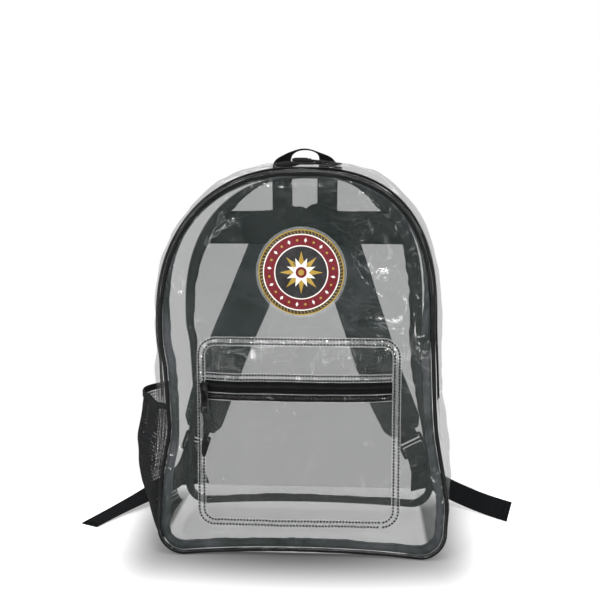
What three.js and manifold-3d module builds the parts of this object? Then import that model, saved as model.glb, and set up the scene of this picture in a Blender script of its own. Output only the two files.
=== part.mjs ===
import * as THREE from 'three';
import Module from 'manifold-3d';

const wasm = await Module();
wasm.setup();

// Driving dimensions of the body, in millimetres
const HEIGHT = 428;          // floor to the top of the front seam
const HALF_WIDTH = 158;      // half of the width at the foot, which the side table follows
const DEPTH = 150;           // front seam to back seam at the top
const FRONT_FOOT = 12;       // how far the front seam steps forward at the floor
const CORNER_FOOT = 8;       // how much further forward its two bottom corners stand
const FRONT_CROWN = 5;       // how far the front panel swells
const BACK_CROWN = 4;        // how far the back panel swells
const CORNER = 29;           // radius of the two bottom corners
const BOTTOM_ARCH = 4.5;     // rise of the bottom seam between its corners
const FILM = 1;              // wall of the clear vinyl
const GAP = 0.3;             // clearance between neighbouring pieces
const SHAPE_GAP = 0.4;       // extra clearance where two surfaces are divided differently

// Seams and main zip
const PIPING = 4.6;          // diameter of the round piping
const BINDING_WIDTH = 9.5;   // width of the tape over the inner seams
const BINDING = 1.4;         // thickness of that tape
const ZIP_SETBACK = 12;      // front seam to the near edge of the main zip tape
const ZIP_WIDTH = 28;        // both tapes of the main zip
const TAPE = 1.2;            // thickness of a zip tape
const COIL_WIDTH = 6;        // width of a closed coil
const COIL_HEIGHT = 1.6;     // height of a closed coil over its tape

// Front pocket
const POCKET_WIDTH = 226;
const POCKET_HEIGHT = 214;
const POCKET_FOOT = 34;      // floor to the pocket's lower edge
const POCKET_SHIFT = 2;      // pocket's middle to the right of the bag's middle
const POCKET_RISE = 13;      // how far the pocket swells over the front panel
const POCKET_CORNER = 20;    // radius of the pocket's corners
const BORDER_WIDTH = 9;      // sewn strip round the pocket
const STRIP_WIDTH = 8;       // sewn strips above and below the pocket's zip
const POCKET_ZIP_UP = 160;   // pocket's lower edge to the middle of its zip
const POCKET_ZIP_OPEN = 14;  // width of zip tape that shows
const ZIP_TUCK = 4;          // how far the tape runs under each strip

// Side pocket of net
const NET_TOP = 0.397 * HEIGHT; // floor to the top of its rim
const NET_FOOT = 15;         // floor to its lower edge
const NET_WALL = 1;
const NET_RISE = 27;         // how far the net stands off the gusset
const RIM_HEIGHT = 6;
const RIM = 2.2;

// Carrying parts
const WEBBING = 25;          // width of all webbing
const WEBBING_THICK = 1.5;
const STRAP_WIDTH = 55;
const STRAP_THICK = 10;
const YOKE_FOOT = 0.797 * HEIGHT; // floor to the yoke's lower edge
const YOKE_HEIGHT = 41;
const YOKE_INSET = 3;        // back seam to the yoke's ends
const YOKE = 2;
const LOOP_TOP = HEIGHT + 31; // floor to the top of the haul loop
const LOOP_SPREAD = 56;      // between the middles of its two legs
const LOCK_START = 6;        // strap's end to its ladder lock
const LOCK_SIDE = 4;         // side rails of a ladder lock
const LOCK_THICK = 3;
const LOCK_BAR = 3.2;        // its cross bars, along the strap
const LOCK_SLOT = 4.2;       // its slots, along the strap
const ANCHOR_LENGTH = 20;
const ANCHOR_WIDE = 36;      // anchor tab's width at the corner seam
const ANCHOR_INSET = 12;     // corner seam to the anchor tab
const ANCHOR = 2;
const BADGE_RADIUS = 47;
const BADGE = 0.8;
const BADGE_HEIGHT = 0.748 * HEIGHT; // floor to the badge's middle
const BADGE_SHIFT = 5;       // badge's middle to the right of the bag's middle

// Sliders and pulls
const SLIDER_LENGTH = 11;
const SLIDER_WIDTH = 8.5;
const SLIDER_HEIGHT = 3.6;
const TAB_LENGTH = 34;
const TAB_WIDTH = 9.5;
const TAB = 1.6;
const STRAND = 2.6;          // thickness of the doubled string on a pull
const STRAND_LENGTH = 28;
const PULL_END_LENGTH = 25;
const PULL_END = 6.4;        // diameter of the moulded end

// Seam outline up the sides: z in shares of HEIGHT, left and right in shares of HALF_WIDTH
const SIDES = [
  { z: 0.07, left: 0.985, right: 1.05 },
  { z: 0.13, left: 0.98, right: 1.06 },
  { z: 0.19, left: 0.975, right: 1.045 },
  { z: 0.26, left: 0.945, right: 1.012 },
  { z: 0.335, left: 0.914, right: 0.98 },
  { z: 0.41, left: 0.924, right: 0.965 },
  { z: 0.5, left: 0.938, right: 0.955 },
  { z: 0.565, left: 0.965, right: 0.947 },
  { z: 0.605, left: 0.968, right: 0.943 },
];

// Swelling of the gusset beyond the seams: z in shares of HEIGHT, left and right in shares of DEPTH
const BULGE = [
  { z: 0.0, left: 0.05, right: 0.05 },
  { z: 0.06, left: 0.05, right: 0.06 },
  { z: 0.15, left: 0.12, right: 0.095 },
  { z: 0.3, left: 0.18, right: 0.115 },
  { z: 0.45, left: 0.205, right: 0.11 },
  { z: 0.55, left: 0.17, right: 0.105 },
  { z: 0.75, left: 0.15, right: 0.1 },
  { z: 0.9, left: 0.115, right: 0.095 },
  { z: 1.0, left: 0.1, right: 0.1 },
];

// How the swelling grows behind the front seam: back in shares of the depth, out in shares of the bulge
const PROFILE = [
  { back: 0.0, out: 0.0 },
  { back: 0.07, out: 0.26 },
  { back: 0.27, out: 0.42 },
  { back: 0.45, out: 0.84 },
  { back: 0.62, out: 1.0 },
  { back: 0.82, out: 0.72 },
  { back: 1.0, out: 0.0 },
];

// Exponent of the arch over the sides: 2 is an ellipse, more is squarer
const ARCH = { left: 2.27, right: 2.65 };

// Middle line of the shoulder straps: z in shares of HEIGHT, left and right in shares of HALF_WIDTH,
// off in shares of DEPTH behind the yoke, wide in shares of STRAP_WIDTH
const STRAPS = [
  { z: 0.81, left: 0.26, right: 0.25, off: 0, wide: 1 },
  { z: 0.76, left: 0.31, right: 0.29, off: 0.07, wide: 1 },
  { z: 0.7, left: 0.385, right: 0.345, off: 0.15, wide: 1 },
  { z: 0.61, left: 0.49, right: 0.42, off: 0.225, wide: 1 },
  { z: 0.51, left: 0.61, right: 0.51, off: 0.25, wide: 1 },
  { z: 0.41, left: 0.715, right: 0.6, off: 0.22, wide: 1 },
  { z: 0.32, left: 0.795, right: 0.7, off: 0.155, wide: 0.98 },
  { z: 0.25, left: 0.85, right: 0.79, off: 0.095, wide: 0.9 },
  { z: 0.225, left: 0.872, right: 0.825, off: 0.08, wide: 0.62 },
];

// Colours and finishes
const LOOKS = {
  film: { color: 0x9a9f9a, roughness: 0.12, metalness: 0 },
  piping: { color: 0x0b0c0d, roughness: 0.25, metalness: 0 },
  binding: { color: 0x3c4043, roughness: 0.6, metalness: 0 },
  zip: { color: 0x0e0e0f, roughness: 0.7, metalness: 0 },
  metal: { color: 0x151617, roughness: 0.35, metalness: 0.6 },
  plastic: { color: 0x111213, roughness: 0.4, metalness: 0 },
  webbing: { color: 0x1c1d1e, roughness: 0.85, metalness: 0 },
  cloth: { color: 0x2e3334, roughness: 0.9, metalness: 0 },
  net: { color: 0x202223, roughness: 0.9, metalness: 0 },
  badge: { color: 0x7a2330, roughness: 0.5, metalness: 0 },
};
const MATERIALS = Object.fromEntries(
  Object.entries(LOOKS).map(([name, look]) => [name, new THREE.MeshStandardMaterial(look)]),
);

const FRONT = -DEPTH / 2;
const BACK = DEPTH / 2;
const SEAM_FLOOR = PIPING / 2 + GAP;
const POCKET_MIDDLE = POCKET_FOOT + POCKET_HEIGHT / 2;
const backpack = new THREE.Group();

// Reads a smooth curve through one column of a table
function reader(table, key, column) {
  const slope = (a, b) => (b[column] - a[column]) / (b[key] - a[key]);
  const slopes = table.map((row, k) => {
    if (k === 0 || k === table.length - 1) return 0;
    const before = slope(table[k - 1], row);
    const after = slope(row, table[k + 1]);
    return before * after > 0 ? (2 * before * after) / (before + after) : 0;
  });
  return (at) => {
    if (at <= table[0][key]) return table[0][column];
    const k = table.findIndex((row) => row[key] >= at);
    if (k < 0) return table[table.length - 1][column];
    const low = table[k - 1];
    const high = table[k];
    const span = high[key] - low[key];
    const t = (at - low[key]) / span;
    const ease = t * t * (3 - 2 * t);
    const start = slopes[k - 1] * span * t * (1 - t) * (1 - t);
    const end = slopes[k] * span * t * t * (t - 1);
    return low[column] + ease * (high[column] - low[column]) + start + end;
  };
}

const widthShare = { left: reader(SIDES, 'z', 'left'), right: reader(SIDES, 'z', 'right') };
const bulgeShare = { left: reader(BULGE, 'z', 'left'), right: reader(BULGE, 'z', 'right') };
const profile = reader(PROFILE, 'back', 'out');

// Front and back surfaces of the clear body, as depth over the front view
function swell(x, z) {
  const across = Math.min(1, Math.abs(x) / (HALF_WIDTH * 1.08));
  const up = Math.min(1, Math.abs(z / HEIGHT - 0.5) * 2);
  return (1 - across ** 2) * (1 - up ** 2);
}

function frontY(x, z) {
  const low = Math.max(0, 1 - z / (HEIGHT / 3));
  const corner = Math.min(1, Math.abs(x) / (HALF_WIDTH * 1.04)) ** 4;
  const side = Math.max(0, 1 - z / (HEIGHT / 4));
  return FRONT - FRONT_FOOT * low ** 2 - CORNER_FOOT * corner * side - FRONT_CROWN * swell(x, z);
}

function backY(x, z) {
  return BACK + BACK_CROWN * swell(x, z);
}

// Stations round the seam outline, from the bottom's middle to the right, over the top and back
const STATION_COUNT = { bottom: 4, corner: 4, arch: 15 };
const SIDE_STATIONS = [0.13, 0.19, 0.26, 0.335, 0.41, 0.5, 0.565, 0.605];
const ZIP_END = SIDE_STATIONS.indexOf(0.41);

function halfOutline(side) {
  const sign = side === 'right' ? 1 : -1;
  const points = [];
  const foot = HALF_WIDTH * widthShare[side](0);
  const flat = foot - CORNER;
  for (let k = 0; k < STATION_COUNT.bottom; k += 1) {
    const share = k / STATION_COUNT.bottom;
    points.push([flat * share, SEAM_FLOOR + BOTTOM_ARCH * (1 - share ** 2)]);
  }
  for (let k = 0; k <= STATION_COUNT.corner; k += 1) {
    const angle = (Math.PI / 2) * (k / STATION_COUNT.corner);
    points.push([flat + CORNER * Math.sin(angle), SEAM_FLOOR + CORNER * (1 - Math.cos(angle))]);
  }
  for (const share of SIDE_STATIONS) points.push([HALF_WIDTH * widthShare[side](share), HEIGHT * share]);
  const spring = SIDE_STATIONS[SIDE_STATIONS.length - 1];
  const reach = HALF_WIDTH * widthShare[side](spring);
  for (let k = 1; k < STATION_COUNT.arch; k += 1) {
    const angle = (Math.PI / 2) * (k / STATION_COUNT.arch);
    const x = reach * Math.cos(angle) ** (2 / ARCH[side]);
    const z = HEIGHT * (spring + (1 - spring) * Math.sin(angle) ** (2 / ARCH[side]));
    points.push([x, z]);
  }
  return points.map(([x, z]) => ({ x: x * sign, z, side }));
}

function outlineRing() {
  const right = halfOutline('right');
  const left = halfOutline('left');
  const ring = [...right, { x: 0, z: HEIGHT, side: 'right' }, ...left.slice(1).reverse()];
  ring.forEach((station, k) => {
    const before = ring[(k + ring.length - 1) % ring.length];
    const after = ring[(k + 1) % ring.length];
    const length = Math.hypot(after.x - before.x, after.z - before.z);
    station.nx = (after.z - before.z) / length;
    station.nz = -(after.x - before.x) / length;
    station.bulge = DEPTH * bulgeShare[station.side](station.z / HEIGHT);
  });
  return ring;
}

const RING = outlineRing();
const COUNT = RING.length;
const ZIP_RIGHT = STATION_COUNT.bottom + STATION_COUNT.corner + 1 + ZIP_END;
const ZIP_LEFT = COUNT - ZIP_RIGHT;

// A depth line on the gusset: a share of the way from front seam to back seam, plus millimetres
const line = (share, plus = 0) => ({ share, plus });
const between = (a, b, t) => line(a.share + (b.share - a.share) * t, a.plus + (b.plus - a.plus) * t);

function gussetAtStation(index, depthLine, out) {
  const station = RING[((index % COUNT) + COUNT) % COUNT];
  const front = frontY(station.x, station.z);
  const y = front + depthLine.share * (BACK - front) + depthLine.plus;
  const push = station.bulge * profile((y - front) / (BACK - front)) + out;
  const z = Math.max(station.z + station.nz * push, -Math.min(out, 0));
  return new THREE.Vector3(station.x + station.nx * push, y, z);
}

// A point on the gusset, moved outwards; between stations it stays on the straight line that joins them
function gussetPoint(at, depthLine, out) {
  const low = Math.floor(at);
  const here = gussetAtStation(low, depthLine, out);
  return at === low ? here : here.lerp(gussetAtStation(low + 1, depthLine, out), at - low);
}

// Whole stations from one place on the ring to another, with both ends
function stationsBetween(from, to) {
  const places = [from];
  for (let k = Math.floor(from) + 1; k < to; k += 1) places.push(k);
  places.push(to);
  return places;
}

// The place on the ring a few millimetres further on
function along(at, distance) {
  const low = Math.floor(at);
  const a = RING[((low % COUNT) + COUNT) % COUNT];
  const b = RING[(((low + 1) % COUNT) + COUNT) % COUNT];
  return at + distance / Math.hypot(b.x - a.x, b.z - a.z);
}

// The place on the ring where one side passes a height
function ringAt(side, z) {
  for (let k = STATION_COUNT.bottom; k < COUNT - STATION_COUNT.bottom; k += 1) {
    const a = RING[k];
    const b = RING[(k + 1) % COUNT];
    const rightSide = k < COUNT / 2;
    if (rightSide === (side === 'right') && (a.z - z) * (b.z - z) <= 0) return k + (z - a.z) / (b.z - a.z);
  }
  return 0;
}

function seamX(side, z) {
  const at = ringAt(side, z);
  const low = Math.floor(at);
  return THREE.MathUtils.lerp(RING[low].x, RING[low + 1].x, at - low);
}

// Makes one closed body from triangles of points: welds them, drops the flat ones and faces it outwards
function closed(triangles) {
  const places = [];
  const known = new Map();
  const number = (p) => {
    const key = `${p.x.toFixed(4)},${p.y.toFixed(4)},${p.z.toFixed(4)}`;
    if (!known.has(key)) {
      known.set(key, known.size);
      places.push(p.x, p.y, p.z);
    }
    return known.get(key);
  };
  let volume = 0;
  const faces = [];
  for (const [a, b, c] of triangles) {
    const face = [number(a), number(b), number(c)];
    if (new Set(face).size === 3) {
      faces.push(face);
      volume += a.dot(new THREE.Vector3().crossVectors(b, c));
    }
  }
  const index = faces.flatMap(([a, b, c]) => (volume > 0 ? [a, b, c] : [a, c, b]));
  const geometry = new THREE.BufferGeometry();
  geometry.setAttribute('position', new THREE.Float32BufferAttribute(places, 3));
  geometry.setIndex(index);
  geometry.computeVertexNormals();
  return geometry;
}

function quad(out, a, b, c, d) {
  out.push([a, b, c], [a, c, d]);
}

// A wall between two grids of points, one on each of its faces
function wall(outer, inner, loop = false) {
  const triangles = [];
  const rows = outer.length;
  const last = outer[0].length - 1;
  for (let r = 0; r < (loop ? rows : rows - 1); r += 1) {
    const next = (r + 1) % rows;
    for (let c = 0; c < last; c += 1) {
      quad(triangles, outer[r][c], outer[next][c], outer[next][c + 1], outer[r][c + 1]);
      quad(triangles, inner[r][c], inner[r][c + 1], inner[next][c + 1], inner[next][c]);
    }
    quad(triangles, outer[r][0], inner[r][0], inner[next][0], outer[next][0]);
    quad(triangles, outer[next][last], inner[next][last], inner[r][last], outer[r][last]);
  }
  if (!loop) {
    for (let c = 0; c < last; c += 1) {
      quad(triangles, outer[0][c], outer[0][c + 1], inner[0][c + 1], inner[0][c]);
      const end = rows - 1;
      quad(triangles, outer[end][c + 1], outer[end][c], inner[end][c], inner[end][c + 1]);
    }
  }
  return closed(triangles);
}

// A body through a run of sections with as many points each, open runs with flat ends;
// its two broad faces are divided along the same diagonals, so that a twisted strap keeps its thickness
function loft(sections, loop = false) {
  const triangles = [];
  const sides = sections[0].length;
  const runs = loop ? sections.length : sections.length - 1;
  for (let r = 0; r < runs; r += 1) {
    const here = sections[r];
    const next = sections[(r + 1) % sections.length];
    for (let k = 0; k < sides; k += 1) {
      const after = (k + 1) % sides;
      if (k < sides / 2) quad(triangles, here[k], next[k], next[after], here[after]);
      else quad(triangles, here[after], here[k], next[k], next[after]);
    }
  }
  if (!loop) {
    const end = sections[sections.length - 1];
    for (let k = 1; k < sides - 1; k += 1) {
      triangles.push([sections[0][0], sections[0][k], sections[0][k + 1]]);
      triangles.push([end[0], end[k + 1], end[k]]);
    }
  }
  return closed(triangles);
}

function add(name, look, geometry) {
  const mesh = new THREE.Mesh(geometry, MATERIALS[look]);
  mesh.name = name;
  backpack.add(mesh);
  return mesh;
}

// A strip of the gusset between two places on the ring and two depth lines
function gussetStrip(from, to, near, far, columns, outer, inner) {
  const grid = (out) => stationsBetween(from, to).map((at) => {
    const row = [];
    for (let c = 0; c <= columns; c += 1) row.push(gussetPoint(at, between(near, far, c / columns), out));
    return row;
  });
  return wall(grid(outer), grid(inner));
}

// A point on one of those flat columns, so that pieces laid over a strip keep its shape
function stripPoint(at, near, far, columns, share, out) {
  const low = Math.min(columns - 1, Math.floor(share * columns));
  const a = gussetPoint(at, between(near, far, low / columns), out);
  const b = gussetPoint(at, between(near, far, (low + 1) / columns), out);
  return a.lerp(b, share * columns - low);
}

// A point of a front or back panel, set in from the seam and then a share of the way to the middle
function panelPoint(station, inset, share, surface, off) {
  const middle = { x: 0, z: HEIGHT / 2 };
  const rimX = station.x - station.nx * inset;
  const rimZ = station.z - station.nz * inset;
  const x = rimX + (middle.x - rimX) * share;
  const z = rimZ + (middle.z - rimZ) * share;
  return new THREE.Vector3(x, surface(x, z) + off, z);
}

const FRONT_SHARES = [0, 0.08, 0.32, 0.62, 1];
const BACK_SHARES = [0, 0.5, 1];

function panel(inset, shares, surface, near, far) {
  const grid = (off) => RING.map((s) => shares.map((t) => panelPoint(s, inset, t, surface, off)));
  return wall(grid(near), grid(far), true);
}

function seamTape(inset, width, surface, near, far) {
  const grid = (off) => RING.map((s) => [0, width].map((d) => panelPoint(s, inset + d, 0, surface, off)));
  return wall(grid(near), grid(far), true);
}

const RIM_INSET = PIPING / 2 + GAP;
const LOWER_NEAR = line(0, RIM_INSET);
const LOWER_FAR = line(1, -GAP);
const LOWER_COLUMNS = 7;

function bodyPieces() {
  add('front_panel', 'film', panel(RIM_INSET, FRONT_SHARES, frontY, 0, FILM));
  add('back_panel', 'film', panel(0, BACK_SHARES, backY, 0, FILM));
  const from = along(ZIP_RIGHT, GAP / 2);
  const to = along(ZIP_LEFT, -GAP / 2);
  const zipNear = line(0, ZIP_SETBACK);
  const zipFar = line(0, ZIP_SETBACK + ZIP_WIDTH);
  const zipBefore = line(0, ZIP_SETBACK - GAP);
  const zipAfter = line(0, ZIP_SETBACK + ZIP_WIDTH + GAP);
  add('gusset_front', 'film', gussetStrip(from, to, LOWER_NEAR, zipBefore, 1, 0, -FILM));
  add('gusset_rear', 'film', gussetStrip(from, to, zipAfter, LOWER_FAR, 5, 0, -FILM));
  const bottomFrom = along(ZIP_LEFT, GAP / 2) - COUNT;
  const bottomTo = along(ZIP_RIGHT, -GAP / 2);
  const lower = gussetStrip(bottomFrom, bottomTo, LOWER_NEAR, LOWER_FAR, LOWER_COLUMNS, 0, -FILM);
  add('gusset_bottom', 'film', lower);
  add('main_zip_tape', 'zip', gussetStrip(from, to, zipNear, zipFar, 1, 0, -TAPE));
  const half = COIL_WIDTH / ZIP_WIDTH / 2;
  const coil = (out) => stationsBetween(from, to)
    .map((at) => [0.5 - half, 0.5 + half].map((share) => stripPoint(at, zipNear, zipFar, 1, share, out)));
  add('main_zip_coil', 'zip', wall(coil(GAP + COIL_HEIGHT), coil(GAP)));
}

function seamPieces() {
  const sides = 6;
  const sections = RING.map((s) => {
    const section = [];
    for (let k = 0; k < sides; k += 1) {
      const angle = (2 * Math.PI * k) / sides;
      const out = (PIPING / 2) * Math.cos(angle);
      const y = frontY(s.x, s.z) + (PIPING / 2) * Math.sin(angle);
      section.push(new THREE.Vector3(s.x + s.nx * out, y, s.z + s.nz * out));
    }
    return section;
  });
  add('front_piping', 'piping', loft(sections, true));
  const near = FILM + GAP + SHAPE_GAP;
  add('front_binding', 'binding', seamTape(RIM_INSET, BINDING_WIDTH, frontY, near, near + BINDING));
  const inside = -GAP - BINDING;
  add('back_binding', 'binding', seamTape(FILM + GAP + SHAPE_GAP, BINDING_WIDTH, backY, inside, -GAP));
}

// Front pocket: stations round a rectangle with round corners, seen from the front
function pocketRing() {
  const halfX = POCKET_WIDTH / 2 - POCKET_CORNER;
  const halfZ = POCKET_HEIGHT / 2 - POCKET_CORNER;
  const centres = [[halfX, -halfZ], [halfX, halfZ], [-halfX, halfZ], [-halfX, -halfZ]];
  const cornerSteps = 4;
  const sideSteps = [5, 7, 5, 7];
  const ring = [];
  centres.forEach(([x, z], corner) => {
    for (let k = 0; k <= cornerSteps; k += 1) {
      const angle = (Math.PI / 2) * (corner - 1 + k / cornerSteps);
      ring.push({ x: x + POCKET_CORNER * Math.cos(angle), z: z + POCKET_CORNER * Math.sin(angle),
        nx: Math.cos(angle), nz: Math.sin(angle) });
    }
    const last = ring[ring.length - 1];
    const [nextX, nextZ] = centres[(corner + 1) % 4];
    const target = { x: nextX + POCKET_CORNER * last.nx, z: nextZ + POCKET_CORNER * last.nz };
    const steps = sideSteps[(corner + 1) % 4];
    for (let k = 1; k < steps; k += 1) {
      const t = k / steps;
      ring.push({ x: last.x + (target.x - last.x) * t, z: last.z + (target.z - last.z) * t,
        nx: last.nx, nz: last.nz });
    }
  });
  return ring;
}

const POCKET_RING = pocketRing();
const POCKET_SHARES = [0, 0.18, 0.42, 0.72, 1];

// Height of the pocket's inner face over the front panel
function pocketLift(x, z) {
  const across = Math.min(1, Math.abs(x) / (POCKET_WIDTH / 2));
  const up = Math.min(1, Math.abs(z) / (POCKET_HEIGHT / 2));
  return GAP + 2 * SHAPE_GAP + POCKET_RISE * (1 - across ** 3) * (1 - up ** 3);
}

function pocketPoint(station, inset, share, off) {
  const x = (station.x - station.nx * inset) * (1 - share);
  const z = (station.z - station.nz * inset) * (1 - share);
  const placeX = x + POCKET_SHIFT;
  const placeZ = z + POCKET_MIDDLE;
  return new THREE.Vector3(placeX, frontY(placeX, placeZ) - pocketLift(x, z) - off, placeZ);
}

// A layer over the whole pocket, between two heights over its inner face
function pocketLayer(near, far) {
  const grid = (off) => POCKET_RING.map((s) => [pocketPoint(s, 0, 0, off),
    ...POCKET_SHARES.map((t) => pocketPoint(s, BORDER_WIDTH, t, off))]);
  return wall(grid(far), grid(near), true);
}

function toManifold(geometry) {
  return new wasm.Manifold(new wasm.Mesh({
    numProp: 3,
    vertProperties: new Float32Array(geometry.attributes.position.array),
    triVerts: new Uint32Array(geometry.index.array),
  }));
}

function fromManifold(solid) {
  const mesh = solid.getMesh();
  const geometry = new THREE.BufferGeometry();
  geometry.setAttribute('position', new THREE.Float32BufferAttribute(mesh.vertProperties, 3));
  geometry.setIndex([...mesh.triVerts]);
  geometry.computeVertexNormals();
  return geometry;
}

function block(low, high) {
  const size = new THREE.Vector3().subVectors(high, low);
  const geometry = new THREE.BoxGeometry(size.x, size.y, size.z);
  geometry.translate(...new THREE.Vector3().addVectors(low, high).multiplyScalar(0.5).toArray());
  return closed(trianglesOf(geometry));
}

function trianglesOf(geometry) {
  const flat = geometry.index ? geometry.toNonIndexed() : geometry;
  const p = flat.attributes.position;
  const triangles = [];
  for (let k = 0; k < p.count; k += 3) {
    triangles.push([0, 1, 2].map((c) => new THREE.Vector3().fromBufferAttribute(p, k + c)));
  }
  return triangles;
}

// The part of a pocket layer between two heights, and within a half width of the pocket's middle
function pocketCut(layer, low, high, half) {
  const deep = DEPTH;
  const cutter = block(
    new THREE.Vector3(POCKET_SHIFT - half, FRONT - deep, low),
    new THREE.Vector3(POCKET_SHIFT + half, FRONT + deep, high),
  );
  return fromManifold(toManifold(layer).intersect(toManifold(cutter)));
}

function pocketPieces() {
  const film = pocketLayer(0, FILM);
  const zip = POCKET_FOOT + POCKET_ZIP_UP;
  const zipLow = zip - POCKET_ZIP_OPEN / 2;
  const zipHigh = zip + POCKET_ZIP_OPEN / 2;
  const wide = POCKET_WIDTH;
  add('pocket_panel', 'film', pocketCut(film, 0, zipLow, wide));
  add('pocket_top_band', 'film', pocketCut(film, zipHigh, HEIGHT, wide));
  const borderOff = FILM + GAP;
  const border = (off) => POCKET_RING.map((s) => [0, BORDER_WIDTH].map((d) => pocketPoint(s, d, 0, off)));
  add('pocket_border', 'film', wall(border(borderOff + FILM), border(borderOff), true));
  const inner = POCKET_WIDTH / 2 - BORDER_WIDTH - GAP;
  const strip = pocketLayer(borderOff, borderOff + FILM);
  add('pocket_strip_upper', 'film', pocketCut(strip, zipHigh, zipHigh + STRIP_WIDTH, inner));
  add('pocket_strip_lower', 'film', pocketCut(strip, zipLow - STRIP_WIDTH, zipLow, inner));
  const tape = pocketLayer(-GAP - TAPE, -GAP);
  add('pocket_zip_tape', 'zip', pocketCut(tape, zipLow - ZIP_TUCK, zipHigh + ZIP_TUCK, inner));
  const coil = pocketLayer(0, COIL_HEIGHT);
  add('pocket_zip_coil', 'zip', pocketCut(coil, zip - COIL_WIDTH / 2, zip + COIL_WIDTH / 2, inner - GAP));
}

// Net side pocket: how far it stands off the gusset, across its depth and down its height
const NET_STAND = [
  { down: 0.0, out: 0.6 },
  { down: 0.12, out: 0.74 },
  { down: 0.34, out: 0.97 },
  { down: 0.48, out: 0.87 },
  { down: 0.65, out: 0.8 },
  { down: 0.83, out: 0.66 },
  { down: 0.93, out: 0.42 },
  { down: 1.0, out: 0.0 },
];
const netStand = reader(NET_STAND, 'down', 'out');

function netStrip(high, low, thick) {
  const shares = [...Array(LOWER_COLUMNS).keys()].map((c) => c / LOWER_COLUMNS);
  const reach = shares[shares.length - 1];
  const grid = (off) => stationsBetween(ringAt('left', high), ringAt('left', low)).map((at) => {
    const z = THREE.MathUtils.clamp(gussetPoint(at, line(0.5), 0).z, low, high);
    const down = netStand((NET_TOP - z) / (NET_TOP - NET_FOOT));
    return shares.map((share) => {
      const away = NET_RISE * down * Math.sin(Math.PI * Math.min(1, share / reach)) ** 0.8;
      return stripPoint(at, LOWER_NEAR, LOWER_FAR, LOWER_COLUMNS, share, GAP + SHAPE_GAP + away + off);
    });
  });
  return wall(grid(thick), grid(0));
}

function sidePocket() {
  add('mesh_pocket', 'net', netStrip(NET_TOP - RIM_HEIGHT - GAP, NET_FOOT, NET_WALL));
  add('mesh_pocket_rim', 'zip', netStrip(NET_TOP, NET_TOP - RIM_HEIGHT, RIM));
}

// Sections of a strap: corners in shares of half the width and half the thickness
const FLAT = [[-1, -1], [1, -1], [1, 1], [-1, 1]];
const PADDED = [[-1, -0.35], [-0.82, -1], [0.82, -1], [1, -0.35], [1, 0.35], [0.82, 1], [-0.82, 1], [-1, 0.35]];
const ROUND = [...Array(8).keys()].map((k) => [Math.cos((Math.PI * k) / 4), Math.sin((Math.PI * k) / 4)]);

// A strap along a smooth route: each row has a place, the direction of its width and its share of the width
function ribbon(route, width, thick, section, perRow = 2) {
  const path = new THREE.CatmullRomCurve3(route.map((row) => row.at), false, 'centripetal');
  const edge = new THREE.CatmullRomCurve3(route.map((row) => row.across), false, 'catmullrom', 0.5);
  const steps = (route.length - 1) * perRow;
  const sections = [];
  for (let k = 0; k <= steps; k += 1) {
    const t = k / steps;
    const place = path.getPoint(t);
    const ahead = path.getTangent(t);
    const across = edge.getPoint(t);
    across.addScaledVector(ahead, -across.dot(ahead)).normalize();
    const normal = new THREE.Vector3().crossVectors(across, ahead);
    const row = k / perRow;
    const low = route[Math.floor(row)].wide ?? 1;
    const high = route[Math.ceil(row)].wide ?? 1;
    const half = (width / 2) * (low + (high - low) * (row % 1));
    sections.push(section.map(([w, n]) => place.clone()
      .addScaledVector(across, w * half)
      .addScaledVector(normal, (n * thick) / 2)));
  }
  return loft(sections);
}

const point = (x, y, z) => new THREE.Vector3(x, y, z);

// A place behind the back panel
function behind(x, z, off) {
  return point(x, backY(x, z) + FILM + GAP + off, z);
}

function yokeAndLoop() {
  const columns = 8;
  const grid = (off) => [YOKE_FOOT, YOKE_FOOT + YOKE_HEIGHT / 2, YOKE_FOOT + YOKE_HEIGHT].map((z) => {
    const left = seamX('left', z) + YOKE_INSET;
    const right = seamX('right', z) - YOKE_INSET;
    return [...Array(columns + 1).keys()].map((c) => behind(left + ((right - left) * c) / columns, z, off));
  });
  add('yoke', 'cloth', wall(grid(YOKE), grid(0)));

  const leg = LOOP_SPREAD / 2;
  const off = WEBBING_THICK / 2;
  const foot = YOKE_FOOT + YOKE_HEIGHT + GAP;
  const rise = LOOP_TOP - off - HEIGHT;
  const y = BACK + FILM + GAP + SHAPE_GAP + off;
  const half = [
    { at: behind(-leg, foot, off), across: point(1, 0, 0) },
    { at: behind(-leg, (foot + HEIGHT) / 2, SHAPE_GAP + off), across: point(1, 0, 0) },
    { at: point(-leg, y + GAP, HEIGHT + rise * 0.12), across: point(1, 0, 0) },
    { at: point(-leg * 0.94, y + 1, HEIGHT + rise * 0.46), across: point(0.8, 0.6, 0.1) },
    { at: point(-leg * 0.68, y, HEIGHT + rise * 0.79), across: point(0.25, 0.96, 0) },
    { at: point(-leg * 0.34, y - 1, HEIGHT + rise * 0.95), across: point(0, 1, 0) },
  ];
  const top = { at: point(0, y - 1, HEIGHT + rise), across: point(0, 1, 0) };
  const mirrored = half.map((row) => ({
    at: row.at.clone().multiply(point(-1, 1, 1)),
    across: row.across.clone().multiply(point(-1, 1, -1)),
  })).reverse();
  add('haul_loop', 'webbing', ribbon([...half, top, ...mirrored], WEBBING, WEBBING_THICK, FLAT));
}

// Rows of the ladder lock along the strap, from its near edge
const LOCK_ROWS = [
  LOCK_BAR, LOCK_BAR + LOCK_SLOT,
  2 * LOCK_BAR + LOCK_SLOT, 2 * (LOCK_BAR + LOCK_SLOT),
  3 * LOCK_BAR + 2 * LOCK_SLOT, 3 * (LOCK_BAR + LOCK_SLOT),
];
const LOCK_LENGTH = 4 * LOCK_BAR + 3 * LOCK_SLOT;
const SLOT_HALF = WEBBING / 2 + GAP + SHAPE_GAP;

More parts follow.
